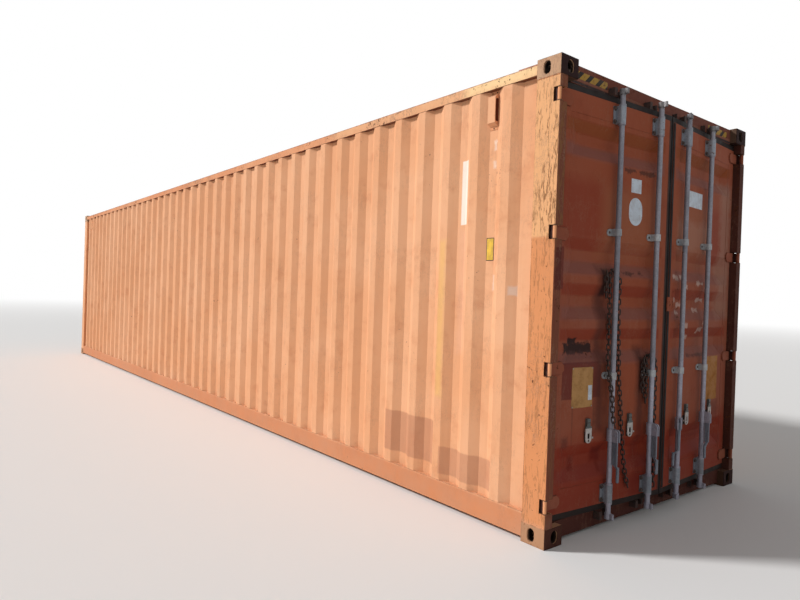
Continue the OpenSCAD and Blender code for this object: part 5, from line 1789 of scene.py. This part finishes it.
@dataclass
class Chain:
    """A chain that lies along a curve on the left leaf, on the closed leaf's coordinates.

    The path's points hold the distance from the rod along X, then Y and Z. wire is the wire's radius,
    half and reach are half a link's width and its length between the wire's middles, and step is the
    distance from one joint to the next.
    """

    name: str
    rod_x: float
    path: Sequence[Vec]
    wire: float = 0.0042
    half: float = 0.0110
    reach: float = 0.0432
    step: float = 0.0330

    def link(self) -> Shape:
        """One link: a circle carried along a racetrack, two straight sides joined by half circles.

        Returns:
            A closed surface.
        """
        straight = self.reach - 2 * self.half
        t = np.linspace(0, math.pi, 9)
        top = np.stack([self.half * np.cos(t), straight / 2 + self.half * np.sin(t)], axis=-1)
        line = np.concatenate([top, -top])
        path = np.stack([line[:, 0], np.zeros(len(line)), line[:, 1]], axis=-1)
        return tube(path, self.wire, 8, (0, 1, 0), True)

    def places(self) -> Array:
        """Matrices of the links.

        The joints lie at equal steps of length along the curve, and a link's middle is midway between two of
        them. Every other link is turned by a right angle round its own length.

        Returns:
            Array (k, 4, 4).
        """
        curve = smoothed(self.path) + np.array([self.rod_x, 0.0, 0.0])
        length = np.concatenate([[0.0], np.cumsum(np.linalg.norm(np.diff(curve, axis=0), axis=1))])
        at = np.arange(0.0, length[-1], self.step)
        joints = np.stack([np.interp(at, length, curve[:, k]) for k in range(3)], axis=-1)
        along = np.diff(joints, axis=0)
        along /= np.linalg.norm(along, axis=1, keepdims=True)
        across = np.cross(along, [0.0, 1.0, 0.0])
        across /= np.linalg.norm(across, axis=1, keepdims=True)
        third = np.cross(along, across)
        turn = np.where(np.arange(len(along)) % 2 == 0, 1.0, -1.0)[:, None]
        x = (across + third * turn) * math.sqrt(0.5)
        out = np.tile(np.eye(4), (len(along), 1, 1))
        out[:, :3, :3] = np.stack([x, np.cross(along, x), along], axis=-1)
        out[:, :3, 3] = (joints[1:] + joints[:-1]) / 2
        return out

    def make(self, shop: PaintShop) -> None:
        """Builds the chain on the left leaf.

        Args:
            shop: The shop that makes its finish.
        """
        shape = self.link().copies(self.places()).moved(hang_matrix(Side.LEFT))
        settle(shape, self.name, CHAIN_STEEL.get(shop), "door_left", "rusty_steel", ROUND_ANGLE)


OUTER_CHAIN: tuple[Vec, ...] = (
    (-0.004, -6.1085, 0.668), (-0.018, -6.1050, 0.700), (-0.024, -6.0990, 0.760), (-0.027, -6.0940, 0.850),
    (-0.034, -6.0850, 0.925), (-0.041, -6.0750, 0.990), (-0.035, -6.0585, 1.080), (-0.031, -6.0545, 1.190),
    (-0.033, -6.0545, 1.400), (-0.038, -6.0545, 1.600), (-0.026, -6.0440, 1.648), (0.012, -6.0370, 1.670),
    (0.048, -6.0440, 1.648), (0.058, -6.0545, 1.600), (0.057, -6.0545, 1.480), (0.060, -6.0545, 1.340),
    (0.070, -6.0545, 1.190), (0.080, -6.0545, 1.050), (0.088, -6.0545, 0.960), (0.101, -6.0545, 0.868),
    (0.112, -6.0545, 0.790), (0.127, -6.0545, 0.657), (0.140, -6.0545, 0.587), (0.154, -6.0545, 0.481),
    (0.169, -6.0545, 0.406), (0.195, -6.0545, 0.310), (0.230, -6.0545, 0.222))
INNER_CHAIN: tuple[Vec, ...] = (
    (-0.040, -6.0545, 0.790), (-0.038, -6.0545, 0.900), (-0.040, -6.0545, 1.040), (-0.028, -6.0440, 1.090),
    (0.011, -6.0370, 1.112), (0.050, -6.0440, 1.090), (0.062, -6.0545, 1.040), (0.063, -6.0545, 0.800),
    (0.067, -6.0545, 0.670), (0.076, -6.0545, 0.500), (0.079, -6.0545, 0.190))
OUTER_END: tuple[Vec, ...] = ((-0.074, -6.0545, 1.490), (-0.075, -6.0545, 1.570), (-0.072, -6.0545, 1.660))
INNER_END: tuple[Vec, ...] = ((-0.076, -6.0545, 0.860), (-0.075, -6.0545, 0.980), (-0.072, -6.0545, 1.100))


def put(name: str, data: bpy.types.ID, axes: Array, place: Vec = NO_SHIFT) -> bpy.types.Object:
    """Puts a camera or a lamp into the scene.

    Args:
        name: Its name.
        data: The camera's or lamp's own data.
        axes: Its X, Y and Z directions, one in each row.
        place: Where it stands.

    Returns:
        The new object.
    """
    matrix = np.eye(4)
    matrix[:3, :3] = axes.T
    matrix[:3, 3] = place
    thing = bpy.data.objects.new(name, data)
    thing.matrix_world = Matrix(matrix.tolist())
    bpy.context.scene.collection.objects.link(thing)
    return thing


@dataclass
class Studio:
    """Camera at the photograph's angle, soft lights, a pale floor and a white background.

    Bearing, elevation and roll are in degrees. The focal length is in pixels of the photograph, which
    is frame_w pixels wide.
    """

    place: Vec = (-4.1593, -8.3638, 1.4588)
    azimuth: float = 38.525
    elevation: float = -0.448
    roll: float = 1.964
    focal: float = 621.56
    frame_w: float = 800.0
    sensor: float = 36.0
    grey: float = 0.29
    floor_edge: float = 150.0
    floor_z: float = -0.0005
    fade_out: tuple[float, float] = (14.0, 60.0)

    def camera(self) -> None:
        """Sets the camera from its place, bearing, elevation and roll."""
        a, e, t = (math.radians(v) for v in (self.azimuth, self.elevation, self.roll))
        d = np.array([math.sin(a) * math.cos(e), math.cos(a) * math.cos(e), math.sin(e)])
        r = np.array([math.cos(a), -math.sin(a), 0.0])
        u = np.cross(r, d)
        right = math.cos(t) * r + math.sin(t) * u
        up = -math.sin(t) * r + math.cos(t) * u
        data = bpy.data.cameras.new("camera")
        data.lens = self.focal / self.frame_w * self.sensor
        data.sensor_width = self.sensor
        data.clip_end = 400.0
        bpy.context.scene.camera = put("camera", data, np.stack([right, up, -d]), self.place)

    def lamp(self, name: str, heading: Vec, strength: float, angle: float) -> None:
        """Adds a broad sun lamp.

        Args:
            name: Name of the lamp.
            heading: Direction its light goes in.
            strength: Its strength.
            angle: Its width in degrees.
        """
        data = bpy.data.lights.new(name, "SUN")
        data.energy = strength
        data.angle = math.radians(angle)
        z = -np.array(heading) / np.linalg.norm(heading)
        x = np.cross([0.0, 0.0, 1.0], z)
        x /= np.linalg.norm(x)
        put(name, data, np.stack([x, np.cross(z, x), z]))

    def sky(self) -> None:
        """White to the camera, to gloss and through glass; a plain grey light to everything else."""
        world = bpy.data.worlds.new("studio")
        world.use_nodes = True
        bpy.context.scene.world = world
        g = Graph(world.node_tree)
        back = world.node_tree.nodes["Background"]
        g.feed(back.inputs["Color"], (1.0, 1.0, 1.0))
        g.feed(back.inputs["Strength"], g.ramp(g.seen(), 0.0, 1.0, self.grey, 1.0))

    def floor(self) -> None:
        """Pale floor that goes over into the white background, between 14 and 60 m from the middle."""
        line = np.linspace(-self.floor_edge, self.floor_edge, 5)
        x, y = np.meshgrid(line, line, indexing="ij")
        shape = skin(np.stack([x, y, np.full_like(x, self.floor_z)], axis=-1), False)
        finish = bpy.data.materials.new("studio_floor")
        finish.use_nodes = True
        g = Graph(finish.node_tree)
        shader = finish.node_tree.nodes["Principled BSDF"]
        g.feed(shader.inputs["Base Color"], (0.80, 0.79, 0.78))
        g.feed(shader.inputs["Roughness"], 0.9)
        white = g.add("Emission", {"Color": (1.0, 1.0, 1.0), "Strength": 1.0})
        away = g.vectors("LENGTH", g.add("TexCoord").outputs["Object"])
        both = g.add("MixShader")
        g.feed(both.inputs[0], g.share(g.ramp(away, *self.fade_out), g.seen()))
        g.feed(both.inputs[1], shader.outputs[0])
        g.feed(both.inputs[2], white.outputs[0])
        g.feed(finish.node_tree.nodes["Material Output"].inputs["Surface"], both.outputs[0])
        shape.build("studio_floor", finish)

    def make(self) -> None:
        """Sets up the whole studio."""
        self.camera()
        self.lamp("key", (0.56, -0.49, -0.44), strength=3.15, angle=8.0)
        self.lamp("fill", (0.30, 0.80, -0.45), strength=0.18, angle=60.0)
        self.sky()
        self.floor()
        bpy.context.scene.view_settings.view_transform = "Standard"


def main() -> None:
    """Builds the studio and the container's dressing in order."""
    logging.basicConfig(level=logging.INFO, format="%(name)s: %(message)s")
    Studio().make()
    shop = PaintShop(Weather())
    Shell(shop).make()
    for side in Side:
        Leaf(shop, side).make()
    LockGear(shop).make()
    outer, inner = SIZES.rods
    for name, rod, path in (("chain_outer", outer, OUTER_CHAIN), ("chain_outer_end", outer, OUTER_END),
                            ("chain_inner", inner, INNER_CHAIN), ("chain_inner_end", inner, INNER_END)):
        Chain(name, rod, path).make(shop)


if __name__ == "__main__":
    main()
